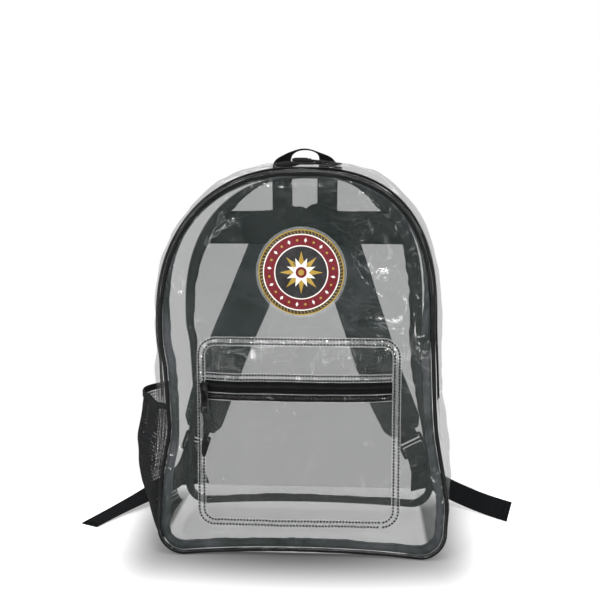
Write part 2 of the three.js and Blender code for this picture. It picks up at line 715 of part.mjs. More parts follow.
function ladderLock() {
  const half = SLOT_HALF + LOCK_SIDE;
  const shape = new THREE.Shape();
  const bevel = LOCK_SIDE / 2;
  shape.moveTo(-half + bevel, 0);
  shape.lineTo(half - bevel, 0);
  shape.lineTo(half, bevel);
  shape.lineTo(half, LOCK_LENGTH - bevel);
  shape.lineTo(half - bevel, LOCK_LENGTH);
  shape.lineTo(-half + bevel, LOCK_LENGTH);
  shape.lineTo(-half, LOCK_LENGTH - bevel);
  shape.lineTo(-half, bevel);
  shape.closePath();
  for (let k = 0; k < LOCK_ROWS.length; k += 2) {
    const slot = new THREE.Path();
    slot.moveTo(-SLOT_HALF, LOCK_ROWS[k]);
    slot.lineTo(-SLOT_HALF, LOCK_ROWS[k + 1]);
    slot.lineTo(SLOT_HALF, LOCK_ROWS[k + 1]);
    slot.lineTo(SLOT_HALF, LOCK_ROWS[k]);
    slot.closePath();
    shape.holes.push(slot);
  }
  const geometry = new THREE.ExtrudeGeometry(shape, { depth: LOCK_THICK, bevelEnabled: false });
  geometry.translate(0, LOCK_START, -LOCK_THICK / 2);
  return closed(trianglesOf(geometry));
}

// Route of each free end: places in shares of HALF_WIDTH, DEPTH and HEIGHT, with the webbing's direction
const FREE_ENDS = {
  left: [
    { x: -1.03, y: 0.69, z: 0.085, across: [0.75, 0.2, -0.6] },
    { x: -1.18, y: 0.65, z: 0.045, across: [0.65, -0.35, -0.6] },
    { x: -1.34, y: 0.49, z: 0.024, across: [0.75, -0.6, -0.25] },
    { x: -1.5, y: 0.24, z: 0.0105, across: [0.86, -0.5, -0.05] },
    { x: -1.64, y: -0.05, z: 0.0032, across: [0.88, -0.47, 0] },
  ],
  right: [
    { x: 1.0, y: 0.68, z: 0.09, across: [0.7, 0.1, 0.7] },
    { x: 1.13, y: 0.66, z: 0.06, across: [0.4, 0.15, 0.9] },
    { x: 1.3, y: 0.56, z: 0.04, across: [0.1, 0.3, 0.95] },
    { x: 1.46, y: 0.42, z: 0.031, across: [0, 0.42, 0.9] },
    { x: 1.62, y: 0.27, z: 0.028, across: [0, 0.48, 0.87] },
  ],
};

function strapRoute(side) {
  const sign = side === 'right' ? 1 : -1;
  const clear = YOKE + GAP + STRAP_THICK / 2;
  const places = STRAPS.map((row) => {
    const x = sign * row[side] * HALF_WIDTH;
    return behind(x, row.z * HEIGHT, clear + row.off * DEPTH);
  });
  const path = new THREE.CatmullRomCurve3(places, false, 'centripetal');
  return places.map((at, k) => {
    const ahead = path.getTangent(k / (places.length - 1));
    return { at, across: point(-ahead.z, 0, ahead.x).normalize(), wide: STRAPS[k].wide, ahead };
  });
}

function carryingSide(side) {
  const route = strapRoute(side);
  add(`shoulder_strap_${side}`, 'cloth', ribbon(route, STRAP_WIDTH, STRAP_THICK, PADDED));
  const end = route[route.length - 1];
  const normal = new THREE.Vector3().crossVectors(end.across, end.ahead).normalize();
  const outwards = normal.y > 0 ? 1 : -1;
  const at = (along_, off) => end.at.clone()
    .addScaledVector(end.ahead, along_)
    .addScaledVector(normal, off * outwards);
  const row = (along_, off) => ({ at: at(along_, off), across: end.across });

  const bar = LOCK_START + LOCK_BAR;
  const ply = LOCK_THICK / 2 + WEBBING_THICK / 2 + SHAPE_GAP;
  const turn = bar + WEBBING_THICK / 2 + 2 * SHAPE_GAP;
  const loop = [row(GAP, ply), row(bar - LOCK_BAR, ply + GAP), row(bar, ply + GAP), row(turn, 0),
    row(bar, -ply - GAP), row(bar - LOCK_BAR, -ply - GAP), row(GAP, -ply)];
  add(`lock_loop_${side}`, 'webbing', ribbon(loop, WEBBING, WEBBING_THICK, FLAT, 3));

  const third = new THREE.Vector3().crossVectors(end.across, end.ahead);
  const place = new THREE.Matrix4().makeBasis(end.across, end.ahead, third).setPosition(end.at);
  add(`ladder_lock_${side}`, 'plastic', ladderLock().applyMatrix4(place));

  const corner = RING[side === 'right' ? STATION_COUNT.bottom + STATION_COUNT.corner : COUNT - STATION_COUNT.bottom - STATION_COUNT.corner];
  const baseX = corner.x - corner.nx * ANCHOR_INSET;
  const baseZ = corner.z - corner.nz * ANCHOR_INSET;
  const lockEnd = at(LOCK_START + LOCK_LENGTH, 0);
  const lean = new THREE.Vector2(lockEnd.x - baseX, lockEnd.z - baseZ).normalize();
  const anchorPlace = (far, wide, off) => {
    const x = baseX + lean.x * far + lean.y * wide;
    return behind(x, baseZ + lean.y * far - lean.x * wide, SHAPE_GAP + off);
  };
  const anchor = (off) => [[0, ANCHOR_WIDE / 2], [ANCHOR_LENGTH, WEBBING / 2]]
    .map(([far, wide]) => [anchorPlace(far, -wide, off), anchorPlace(far, wide, off)]);
  add(`anchor_tab_${side}`, 'webbing', wall(anchor(ANCHOR), anchor(0)));

  const first = LOCK_START + LOCK_ROWS[3] - LOCK_SLOT / 2;
  const second = LOCK_START + LOCK_ROWS[5] - LOCK_SLOT / 2;
  const over = ply + GAP;
  const under = -ply - GAP;
  const below = under - WEBBING_THICK - 2 * SHAPE_GAP;
  const level = WEBBING_THICK / 2;
  const across = point(lean.y, 0, -lean.x);
  if (across.dot(end.across) < 0) across.negate();
  const fixed = [
    { at: anchorPlace(ANCHOR_LENGTH + 3 * GAP, 0, ANCHOR / 2), across },
    { at: anchorPlace(ANCHOR_LENGTH + 2.5 * ANCHOR, 0, 1.3 * ANCHOR), across },
    row(LOCK_START + LOCK_LENGTH, below - level / 2),
    row(second, below),
    row(first + LOCK_SLOT / 2, under - level),
    row(first, -level),
    row(first + level, over - level / 2),
    row((first + second) / 2, over),
    row(second - level, over - level / 2),
    row(second, -level),
    row(second + LOCK_SLOT / 2 + 0.6, under),
    row(LOCK_START + LOCK_LENGTH + 1, under),
  ];
  const sideways = end.across.x > 0 ? 1 : -1;
  const free = FREE_ENDS[side].map((place) => ({
    at: point(place.x * HALF_WIDTH, place.y * DEPTH, place.z * HEIGHT),
    across: point(...place.across).multiplyScalar(sideways),
  }));
  add(`strap_webbing_${side}`, 'webbing', ribbon([...fixed, ...free], WEBBING, WEBBING_THICK, FLAT));
}

function badge() {
  const shares = [0, 0.5, 1];
  const turns = 32;
  const grid = (off) => [...Array(turns).keys()].map((k) => shares.map((share) => {
    const angle = (2 * Math.PI * k) / turns;
    const x = BADGE_SHIFT + BADGE_RADIUS * (1 - share) * Math.cos(angle);
    const z = BADGE_HEIGHT + BADGE_RADIUS * (1 - share) * Math.sin(angle);
    return point(x, frontY(x, z) - off, z);
  }));
  add('badge', 'badge', wall(grid(GAP + BADGE), grid(GAP), true));
}

// A slider lies in its own plane: length along x, width along y, height along z from its underside
function sliderShape() {
  const half = SLIDER_LENGTH / 2;
  const wide = SLIDER_WIDTH / 2;
  const shape = new THREE.Shape();
  shape.moveTo(-half, -wide * 0.7);
  shape.lineTo(-half * 0.4, -wide);
  shape.lineTo(half, -wide * 0.85);
  shape.lineTo(half, wide * 0.85);
  shape.lineTo(-half * 0.4, wide);
  shape.lineTo(-half, wide * 0.7);
  shape.closePath();
  const plate = new THREE.ExtrudeGeometry(shape, { depth: SLIDER_HEIGHT, bevelEnabled: false });
  const body = toManifold(closed(trianglesOf(plate)));
  const post = block(
    point(-SLIDER_WIDTH * 0.2, -SLIDER_WIDTH * 0.18, SLIDER_HEIGHT / 2),
    point(SLIDER_WIDTH * 0.2, SLIDER_WIDTH * 0.18, SLIDER_HEIGHT + TAB + 2 * GAP),
  );
  return fromManifold(body.add(toManifold(post)));
}

// A pull tab lies in its own plane: hangs along -y from its upper hole, which sits at the origin
function tabShape() {
  const half = TAB_WIDTH / 2;
  const top = TAB_WIDTH * 0.42;
  const foot = top - TAB_LENGTH;
  const shape = new THREE.Shape();
  shape.moveTo(-half * 0.8, top);
  shape.lineTo(-half * 0.9, foot + half);
  shape.lineTo(-half, foot + half * 0.8);
  shape.lineTo(-half * 0.6, foot);
  shape.lineTo(half * 0.6, foot);
  shape.lineTo(half, foot + half * 0.8);
  shape.lineTo(half * 0.9, foot + half);
  shape.lineTo(half * 0.8, top);
  shape.closePath();
  const hole = (halfX, low, high) => {
    const path = new THREE.Path();
    path.moveTo(-halfX, low);
    path.lineTo(-halfX, high);
    path.lineTo(halfX, high);
    path.lineTo(halfX, low);
    path.closePath();
    shape.holes.push(path);
  };
  const post = SLIDER_WIDTH * 0.2 + GAP;
  hole(post, -post, post);
  hole(half * 0.62, foot + half * 0.45, foot + half * 1.2);
  const geometry = new THREE.ExtrudeGeometry(shape, { depth: TAB, bevelEnabled: false });
  return closed(trianglesOf(geometry));
}

function pocketPull() {
  const x = POCKET_SHIFT - POCKET_WIDTH / 2 + BORDER_WIDTH + GAP;
  const z = POCKET_FOOT + POCKET_ZIP_UP;
  const inner = x + SLIDER_LENGTH / 2;
  const surface = frontY(inner, z) - pocketLift(inner - POCKET_SHIFT, z - POCKET_MIDDLE);
  const seat = surface - (COIL_HEIGHT + GAP);
  const flatten = new THREE.Euler(Math.PI / 2, 0, 0);
  const slider = add('pocket_slider', 'metal', sliderShape());
  slider.position.set(x, seat, z);
  slider.rotation.copy(flatten);
  const tab = add('pocket_pull_tab', 'metal', tabShape());
  const tabBack = seat - SLIDER_HEIGHT - GAP;
  tab.position.set(x, tabBack, z);
  tab.rotation.copy(flatten);
  const half = TAB_WIDTH / 2;
  const hole = z + TAB_WIDTH * 0.42 - TAB_LENGTH + half;
  const front = tabBack - TAB - GAP;
  const strand = [0, 0.5, 1].map((share) => ({
    at: point(x + share, front - STRAND / 2, hole - STRAND_LENGTH * share),
    across: point(1, 0, 0),
  }));
  add('pocket_pull_strand', 'webbing', ribbon(strand, STRAND, STRAND, ROUND, 1));
  const top = hole - STRAND_LENGTH - 2 * GAP;
  const end = [[0, 0.7], [0.15, 1], [0.7, 0.9], [1, 0.6]].map(([share, wide]) => ({
    at: point(x + 1 - 2 * share, front - STRAND / 2, top - PULL_END_LENGTH * share),
    across: point(1, 0, 0),
    wide,
  }));
  add('pocket_pull_end', 'plastic', ribbon(end, PULL_END, PULL_END * 0.7, ROUND, 1));
}

// Pulls of the main zip: places over the crest, x and y in millimetres from the bag's middle
const MAIN_PULLS = {
  right: { slider: 42, tab: [37, -24], string: [[27, -18], [15, -16]], end: [-9, -12] },
  left: { slider: 28, tab: [20, -29], string: [[11, -29], [-1, -29]], end: [-25, -32] },
};

// A point over the crest of the gusset
function crest(x, y, off) {
  const places = RING.map((s, k) => [s, k]).filter(([s]) => s.z > HEIGHT / 2);
  const [, low] = places.find(([s], k) => places[k + 1] && s.x >= x && places[k + 1][0].x < x);
  const at = low + (RING[low].x - x) / (RING[low].x - RING[low + 1].x);
  const front = frontY(x, HEIGHT);
  return gussetPoint(at, line((y - front) / (BACK - front)), off);
}

function mainPulls() {
  const y = frontY(0, HEIGHT) + ZIP_SETBACK + ZIP_WIDTH / 2;
  for (const [side, pull] of Object.entries(MAIN_PULLS)) {
    const seat = COIL_HEIGHT + 2 * GAP + SHAPE_GAP;
    const place = crest(pull.slider, y, seat);
    const near = crest(pull.slider - 1, y, seat);
    const slope = Math.atan2(near.z - place.z, 1);
    const slider = add(`main_slider_${side}`, 'metal', sliderShape());
    slider.position.copy(place);
    slider.rotation.set(0, slope, 0);
    const top = seat + SLIDER_HEIGHT + 1.5 * TAB + 5 * GAP;
    const rest = TAB / 2 + GAP + SHAPE_GAP;
    const [tabX, tabY] = pull.tab;
    const from = crest(pull.slider, y, top);
    const to = crest(tabX, tabY, rest + STRAND);
    const across = point(-(to.y - from.y), to.x - from.x, 0).normalize();
    const tab = [0, 0.5, 1].map((t) => ({ at: from.clone().lerp(to, t), across }));
    add(`main_pull_tab_${side}`, 'metal', ribbon(tab, TAB_WIDTH, TAB, FLAT, 1));
    const ahead = to.clone().sub(from).normalize();
    const start = to.clone().addScaledVector(ahead, GAP);
    const string = [start, start.clone().addScaledVector(ahead, STRAND),
      ...pull.string.map(([sx, sy]) => crest(sx, sy, PULL_END / 2 + 2 * GAP))];
    add(`main_pull_strand_${side}`, 'webbing', ribbon(
      string.map((at) => ({ at, across: point(0, 0, 1) })), STRAND, STRAND, ROUND, 2));
    const last = string[string.length - 1];
    const tip = crest(...pull.end, PULL_END / 2 + 2 * GAP);
    const onward = tip.clone().sub(last).normalize();
    const root = last.clone().addScaledVector(onward, 2 * GAP);
    const end = [[0, 0.7], [0.15, 1], [0.7, 0.9], [1, 0.6]].map(([share, wide]) => ({
      at: root.clone().addScaledVector(onward, PULL_END_LENGTH * share), across: point(0, 0, 1), wide,
    }));
    add(`main_pull_end_${side}`, 'plastic', ribbon(end, PULL_END, PULL_END * 0.8, ROUND, 1));
  }
}

bodyPieces();
seamPieces();
pocketPieces();
pocketPull();
mainPulls();
sidePocket();
yokeAndLoop();
carryingSide('left');
carryingSide('right');
badge();

// The part's origin is the bottom centre of its box
const box = new THREE.Box3().setFromObject(backpack, true);
const centre = box.getCenter(new THREE.Vector3());
backpack.position.set(-centre.x, -centre.y, -box.min.z);

export default backpack;
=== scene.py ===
"""Looks of the clear backpack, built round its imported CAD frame. Lengths are in millimetres unless a name says metres."""

import math

import bpy
import numpy as np
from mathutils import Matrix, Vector


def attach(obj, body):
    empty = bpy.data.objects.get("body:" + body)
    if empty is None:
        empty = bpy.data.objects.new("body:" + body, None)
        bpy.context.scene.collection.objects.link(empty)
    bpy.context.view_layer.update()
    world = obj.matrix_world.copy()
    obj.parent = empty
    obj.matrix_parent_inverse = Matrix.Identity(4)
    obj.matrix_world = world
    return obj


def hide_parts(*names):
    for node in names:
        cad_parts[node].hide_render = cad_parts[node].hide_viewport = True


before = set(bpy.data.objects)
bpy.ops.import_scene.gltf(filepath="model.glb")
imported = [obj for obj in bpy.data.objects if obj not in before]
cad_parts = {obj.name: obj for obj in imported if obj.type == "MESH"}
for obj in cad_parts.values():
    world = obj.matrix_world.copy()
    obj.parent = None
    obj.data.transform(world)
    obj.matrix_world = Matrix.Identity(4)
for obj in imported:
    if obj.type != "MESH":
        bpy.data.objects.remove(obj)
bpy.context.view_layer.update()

# The bag's own middle in the part's frame
SHIFT = np.array([5.17, -16.906, 0.0])

# Body, with the same names and values as the part's source
HEIGHT = 428.0
HALF_WIDTH = 158.0
DEPTH = 150.0
FRONT_FOOT = 12.0
CORNER_FOOT = 8.0
FRONT_CROWN = 5.0
BACK_CROWN = 4.0
CORNER = 29.0
BOTTOM_ARCH = 4.5
PIPING = 4.6
BINDING_WIDTH = 9.5
ZIP_SETBACK = 12.0
ZIP_WIDTH = 28.0
POCKET_WIDTH = 226.0
POCKET_HEIGHT = 214.0
POCKET_FOOT = 34.0
POCKET_SHIFT = 2.0
POCKET_RISE = 13.0
POCKET_CORNER = 20.0
BORDER_WIDTH = 9.0
STRIP_WIDTH = 8.0
POCKET_ZIP_UP = 160.0
POCKET_ZIP_OPEN = 14.0
NET_TOP = 0.397 * HEIGHT
NET_FOOT = 15.0
NET_RISE = 27.0
RIM_HEIGHT = 6.0
WEBBING = 25.0
WEBBING_THICK = 1.5
STRAP_WIDTH = 55.0
STRAP_THICK = 10.0
YOKE_FOOT = 0.797 * HEIGHT
YOKE_HEIGHT = 41.0
YOKE_INSET = 3.0
LOOP_TOP = HEIGHT + 31
LOOP_SPREAD = 56.0
LOCK_START = 6.0
LOCK_THICK = 3.0
LOCK_BAR = 3.2
LOCK_SLOT = 4.2
ANCHOR_LENGTH = 20.0
ANCHOR_WIDE = 36.0
ANCHOR_INSET = 12.0
BADGE_RADIUS = 47.0
BADGE_HEIGHT = 0.748 * HEIGHT
BADGE_SHIFT = 5.0
TAB_LENGTH = 34.0
TAB_WIDTH = 9.5
SEAM_FLOOR = PIPING / 2 + 0.3
FRONT = -DEPTH / 2
BACK = DEPTH / 2
POCKET_MIDDLE = POCKET_FOOT + POCKET_HEIGHT / 2

# z, left, right
SIDES = [(0.07, 0.985, 1.05), (0.13, 0.98, 1.06), (0.19, 0.975, 1.045), (0.26, 0.945, 1.012), (0.335, 0.914, 0.98),
         (0.41, 0.924, 0.965), (0.5, 0.938, 0.955), (0.565, 0.965, 0.947), (0.605, 0.968, 0.943)]
BULGE = [(0.0, 0.05, 0.05), (0.06, 0.05, 0.06), (0.15, 0.12, 0.095), (0.3, 0.18, 0.115), (0.45, 0.205, 0.11),
         (0.55, 0.17, 0.105), (0.75, 0.15, 0.1), (0.9, 0.115, 0.095), (1.0, 0.1, 0.1)]
PROFILE = [(0.0, 0.0), (0.07, 0.26), (0.27, 0.42), (0.45, 0.84), (0.62, 1.0), (0.82, 0.72), (1.0, 0.0)]
ARCH = {"left": 2.27, "right": 2.65}
# z, left, right, off, wide
STRAPS = [(0.81, 0.26, 0.25, 0, 1), (0.76, 0.31, 0.29, 0.07, 1), (0.7, 0.385, 0.345, 0.15, 1), (0.61, 0.49, 0.42, 0.225, 1),
          (0.51, 0.61, 0.51, 0.25, 1), (0.41, 0.715, 0.6, 0.22, 1), (0.32, 0.795, 0.7, 0.155, 0.98),
          (0.25, 0.85, 0.79, 0.095, 0.9), (0.225, 0.872, 0.825, 0.08, 0.62)]
NET_STAND = [(0.0, 0.6), (0.12, 0.74), (0.34, 0.97), (0.48, 0.87), (0.65, 0.8), (0.83, 0.66), (0.93, 0.42), (1.0, 0.0)]
# x, y, z, then the direction of the width
FREE_ENDS = {
    "left": [(-1.03, 0.69, 0.085, 0.75, 0.2, -0.6), (-1.18, 0.65, 0.045, 0.65, -0.35, -0.6),
             (-1.34, 0.49, 0.024, 0.75, -0.6, -0.25), (-1.5, 0.24, 0.0105, 0.86, -0.5, -0.05),
             (-1.64, -0.05, 0.0032, 0.88, -0.47, 0)],
    "right": [(1.0, 0.68, 0.09, 0.7, 0.1, 0.7), (1.13, 0.66, 0.06, 0.4, 0.15, 0.9), (1.3, 0.56, 0.04, 0.1, 0.3, 0.95),
              (1.46, 0.42, 0.031, 0, 0.42, 0.9), (1.62, 0.27, 0.028, 0, 0.48, 0.87)],
}


def reader(rows, column=1):
    """A smooth curve through one column of a table."""
    xs = np.array([row[0] for row in rows], float)
    ys = np.array([row[column] for row in rows], float)
    d = np.diff(ys) / np.diff(xs)
    m = np.zeros(len(xs))
    for k in range(1, len(xs) - 1):
        if d[k - 1] * d[k] > 0:
            m[k] = 2 * d[k - 1] * d[k] / (d[k - 1] + d[k])

    def read(x):
        x = np.clip(np.asarray(x, float), xs[0], xs[-1])
        k = np.clip(np.searchsorted(xs, x) - 1, 0, len(xs) - 2)
        h = xs[k + 1] - xs[k]
        t = (x - xs[k]) / h
        rise = t * t * (3 - 2 * t)
        return ys[k] + rise * (ys[k + 1] - ys[k]) + m[k] * h * t * (1 - t) ** 2 + m[k + 1] * h * t * t * (t - 1)

    return read


WIDTH_SHARE = {"left": reader(SIDES, 1), "right": reader(SIDES, 2)}
BULGE_SHARE = {"left": reader(BULGE, 1), "right": reader(BULGE, 2)}
profile = reader(PROFILE)
net_stand = reader(NET_STAND)


def swell(x, z):
    across = np.minimum(1, np.abs(x) / (HALF_WIDTH * 1.08))
    up = np.minimum(1, np.abs(z / HEIGHT - 0.5) * 2)
    return (1 - across**2) * (1 - up**2)


def front_y(x, z):
    low = np.maximum(0, 1 - z / (HEIGHT / 3))
    corner = np.minimum(1, np.abs(x) / (HALF_WIDTH * 1.04)) ** 4
    side = np.maximum(0, 1 - z / (HEIGHT / 4))
    return FRONT - FRONT_FOOT * low**2 - CORNER_FOOT * corner * side - FRONT_CROWN * swell(x, z)


def back_y(x, z):
    return BACK + BACK_CROWN * swell(x, z)


def half_outline(side):
    """The seam from the bottom's middle up to the top's middle, on one side."""
    foot = HALF_WIDTH * float(WIDTH_SHARE[side](0))
    flat = foot - CORNER
    points = []
    for share in np.linspace(0, 1, 40, endpoint=False):
        points.append((flat * share, SEAM_FLOOR + BOTTOM_ARCH * (1 - share**2)))
    for angle in np.linspace(0, math.pi / 2, 24, endpoint=False):
        points.append((flat + CORNER * math.sin(angle), SEAM_FLOOR + CORNER * (1 - math.cos(angle))))
    for z in np.linspace((SEAM_FLOOR + CORNER) / HEIGHT, 0.605, 80, endpoint=False):
        points.append((HALF_WIDTH * float(WIDTH_SHARE[side](z)), HEIGHT * z))
    reach = HALF_WIDTH * float(WIDTH_SHARE[side](0.605))
    for angle in np.linspace(0, math.pi / 2, 120):
        x = reach * max(0.0, math.cos(angle)) ** (2 / ARCH[side])
        points.append((x, HEIGHT * (0.605 + 0.395 * math.sin(angle) ** (2 / ARCH[side]))))
    return np.array(points)


def resampled(points, count):
    steps = np.linalg.norm(np.diff(points, axis=0), axis=1)
    length = np.concatenate([[0], np.cumsum(steps)])
    at = np.linspace(0, length[-1], count)
    return np.stack([np.interp(at, length, points[:, k]) for k in range(points.shape[1])], axis=1)


HALF = 400
right_half = resampled(half_outline("right"), HALF + 1)
left_half = resampled(half_outline("left"), HALF + 1)
left_half[:, 0] *= -1
RING = np.concatenate([right_half[:-1], left_half[::-1][:-1]])
for _ in range(3):
    RING = 0.5 * RING + 0.25 * (np.roll(RING, 1, axis=0) + np.roll(RING, -1, axis=0))
RING_AHEAD = np.roll(RING, -1, axis=0) - np.roll(RING, 1, axis=0)
RING_AHEAD /= np.linalg.norm(RING_AHEAD, axis=1)[:, None]
RING_SIDE = np.arange(2 * HALF) < HALF
RING_BULGE = DEPTH * np.where(RING_SIDE, BULGE_SHARE["right"](RING[:, 1] / HEIGHT), BULGE_SHARE["left"](RING[:, 1] / HEIGHT))
RING_STEP = np.linalg.norm(np.roll(RING, -1, axis=0) - RING, axis=1)
RING_LENGTH = float(RING_STEP.sum())
RING_AT = np.concatenate([[0], np.cumsum(RING_STEP)])


def on_ring(at):
    """x, z, outward x, outward z and bulge, a number of millimetres round the seam from the bottom's middle."""
    at = np.mod(np.asarray(at, float), RING_LENGTH)
    columns = []
    for values in (RING[:, 0], RING[:, 1], RING_AHEAD[:, 1], -RING_AHEAD[:, 0], RING_BULGE):
        columns.append(np.interp(at, RING_AT, np.concatenate([values, values[:1]])))
    return columns


def ring_place(side, z):
    """The place on the ring where one side passes a height."""
    index = np.arange(30, HALF) if side == "right" else np.arange(HALF, 2 * HALF - 30)
    order = np.argsort(RING[index, 1])
    return float(np.interp(z, RING[index, 1][order], RING_AT[:-1][index][order]))


def gusset(at, share, plus=0.0, out=0.0):
    """Points on the gusset: a place round the ring, a share of the depth plus millimetres, and millimetres outwards."""
    x, z, nx, nz, bulge = on_ring(at)
    front = front_y(x, z)
    y = front + share * (BACK - front) + plus
    push = bulge * profile((y - front) / (BACK - front)) + out
    return np.stack([x + nx * push, y + 0 * push, np.maximum(z + nz * push, np.maximum(0.05, -np.minimum(out, 0)))], axis=-1)


def seam_x(side, z):
    return float(on_ring(ring_place(side, z))[0])


def rise_between(value, low, high):
    """0 below the low value, 1 above the high one, smooth between."""
    t = np.clip((value - low) / (high - low), 0, 1)
    return t * t * (3 - 2 * t)


# Smooth random fields, the same on every run
def field(p, wave, seed, count=9, stretch=(1, 1, 1)):
    """Smooth values of about -1 to 1 over points, with waves of about one length."""
    rng = np.random.default_rng(seed)
    total = np.zeros(p.shape[:-1])
    for _ in range(count):
        d = rng.normal(size=3) * np.array(stretch)
        d /= np.linalg.norm(d) + 1e-9
        size = 2 * math.pi / (wave * rng.uniform(0.7, 1.5))
        total += np.sin((p @ d) * size + rng.uniform(0, 6.28))
    return total / math.sqrt(count / 2)


def ridged(p, wave, seed, sharp=3.0, count=5, stretch=(1, 1, 1)):
    """Creases: 1 on the crease lines, falling off on both sides."""
    return np.maximum(0, 1 - np.abs(field(p, wave, seed, count, stretch))) ** sharp


def creases(x, z, rows):
    """Height of single creases: rows of x0, z0, x1, z1, height and width."""
    x, z = np.broadcast_arrays(np.asarray(x, float), np.asarray(z, float))
    total = np.zeros(x.shape)
    for x0, z0, x1, z1, high, wide in rows:
        dx, dz = x1 - x0, z1 - z0
        length = math.hypot(dx, dz)
        t = ((x - x0) * dx + (z - z0) * dz) / length**2
        d = ((x - x0) * -dz + (z - z0) * dx) / length
        d = d + 0.06 * length * np.sin(np.clip(t, 0, 1) * math.pi)
        fade = np.clip(t, 0, 1)
        cap = np.exp(-(np.maximum(0, -t) + np.maximum(0, t - 1)) * length / wide)
        total += high * np.exp(-((d / wide) ** 2)) * cap * (1 - 0.6 * fade)
    return total


# Meshes
class Build:
    """Collects the faces of one piece, in the bag's frame and in millimetres."""

    def __init__(self, name, *materials):
        self.name = name
        self.materials = materials
        self.v, self.uv, self.f, self.m = [], [], [], []
        self.count = 0

    def add(self, verts, faces, uv=None, mat=0):
        verts = np.asarray(verts, float).reshape(-1, 3)
        self.v.append(verts)
        self.uv.append(np.zeros((len(verts), 2)) if uv is None else np.asarray(uv, float).reshape(-1, 2))
        self.f += [tuple(int(i) + self.count for i in face) for face in faces]
        self.m += [mat] * len(faces)
        self.count += len(verts)

    def grid(self, p, uv=None, loop_r=False, loop_c=False, mat=0, caps=False):
        rows, cols = p.shape[:2]
        faces = []
        for r in range(rows if loop_r else rows - 1):
            r2 = (r + 1) % rows
            for c in range(cols if loop_c else cols - 1):
                c2 = (c + 1) % cols
                faces.append((r * cols + c, r2 * cols + c, r2 * cols + c2, r * cols + c2))
        if caps:
            faces.append(tuple(range(cols - 1, -1, -1)))
            faces.append(tuple((rows - 1) * cols + c for c in range(cols)))
        self.add(p, faces, uv, mat)

    def done(self, replaces=(), smooth=True):
        mesh = bpy.data.meshes.new(self.name)
        verts = (np.concatenate(self.v) + SHIFT) * 0.001
        mesh.from_pydata(verts.tolist(), [], self.f)
        uv = np.concatenate(self.uv)
        layer = mesh.uv_layers.new(name="mm")
        loops = np.zeros(len(mesh.loops), dtype=np.int32)
        mesh.loops.foreach_get("vertex_index", loops)
        layer.data.foreach_set("uv", uv[loops].astype(np.float32).ravel())
        for material in self.materials:
            mesh.materials.append(material)
        mesh.polygons.foreach_set("material_index", np.array(self.m, dtype=np.int32))
        mesh.polygons.foreach_set("use_smooth", np.full(len(mesh.polygons), smooth))
        mesh.validate()
        mesh.update()
        obj = bpy.data.objects.new(self.name, mesh)
        bpy.context.scene.collection.objects.link(obj)
        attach(obj, "root")
        if replaces:
            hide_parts(*replaces)
        return obj


def normals_of(p, loop_r=False):
    """Normals of a grid of points."""
    along = np.gradient(p, axis=0)
    if loop_r:
        along = np.roll(p, -1, axis=0) - np.roll(p, 1, axis=0)
    across = np.gradient(p, axis=1)
    n = np.cross(along, across)
    return n / (np.linalg.norm(n, axis=-1, keepdims=True) + 1e-9)


def catmull(points, t, centripetal=True):
    """A point of the curve that the part's source uses for its straps."""
    points = [np.asarray(p, float) for p in points]
    last = len(points) - 1
    place = last * t
    k = min(int(math.floor(place)), last - 1)
    w = place - k
    p1, p2 = points[k], points[k + 1]
    p0 = points[k - 1] if k > 0 else 2 * points[0] - points[1]
    p3 = points[k + 2] if k + 2 <= last else 2 * points[last] - points[last - 1]
    if centripetal:
        d = [max(float(np.dot(b - a, b - a)) ** 0.25, 1e-9) for a, b in ((p0, p1), (p1, p2), (p2, p3))]
        t1 = ((p1 - p0) / d[0] - (p2 - p0) / (d[0] + d[1]) + (p2 - p1) / d[1]) * d[1]
        t2 = ((p2 - p1) / d[1] - (p3 - p1) / (d[1] + d[2]) + (p3 - p2) / d[2]) * d[1]
    else:
        t1, t2 = 0.5 * (p2 - p0), 0.5 * (p3 - p1)
    return p1 + t1 * w + (-3 * p1 + 3 * p2 - 2 * t1 - t2) * w**2 + (2 * p1 - 2 * p2 + t1 + t2) * w**3


def rails(route, steps):
    """Places, widths' directions, normals and shares of the width along a strap's route."""
    places = [row[0] for row in route]
    acrosses = [row[1] for row in route]
    wides = [row[2] if len(row) > 2 else 1.0 for row in route]
    ts = np.linspace(0, 1, steps)
    p = np.array([catmull(places, t) for t in ts])
    ahead = np.array([catmull(places, min(1, t + 1e-3)) - catmull(places, max(0, t - 1e-3)) for t in ts])
    ahead /= np.linalg.norm(ahead, axis=1)[:, None]
    across = np.array([catmull(acrosses, t, False) for t in ts])
    across -= ahead * np.sum(across * ahead, axis=1)[:, None]
    across /= np.linalg.norm(across, axis=1)[:, None]
    normal = np.cross(across, ahead)
    wide = np.interp(ts * (len(route) - 1), range(len(route)), wides)
    run = np.concatenate([[0], np.cumsum(np.linalg.norm(np.diff(p, axis=0), axis=1))])
    return p, across, normal, wide, run


def section(kind, count=16, squareness=0.35):
    """Corners of a strap's section in shares of half the width and half the thickness."""
    angles = 2 * math.pi * (np.arange(count) + 0.5) / count
    if kind == "round":
        return np.stack([np.cos(angles), np.sin(angles)], axis=1)
    w = np.sign(np.cos(angles)) * np.abs(np.cos(angles)) ** squareness
    n = np.sign(np.sin(angles)) * np.abs(np.sin(angles)) ** (squareness if kind == "flat" else 0.55)
    return np.stack([w, n], axis=1)


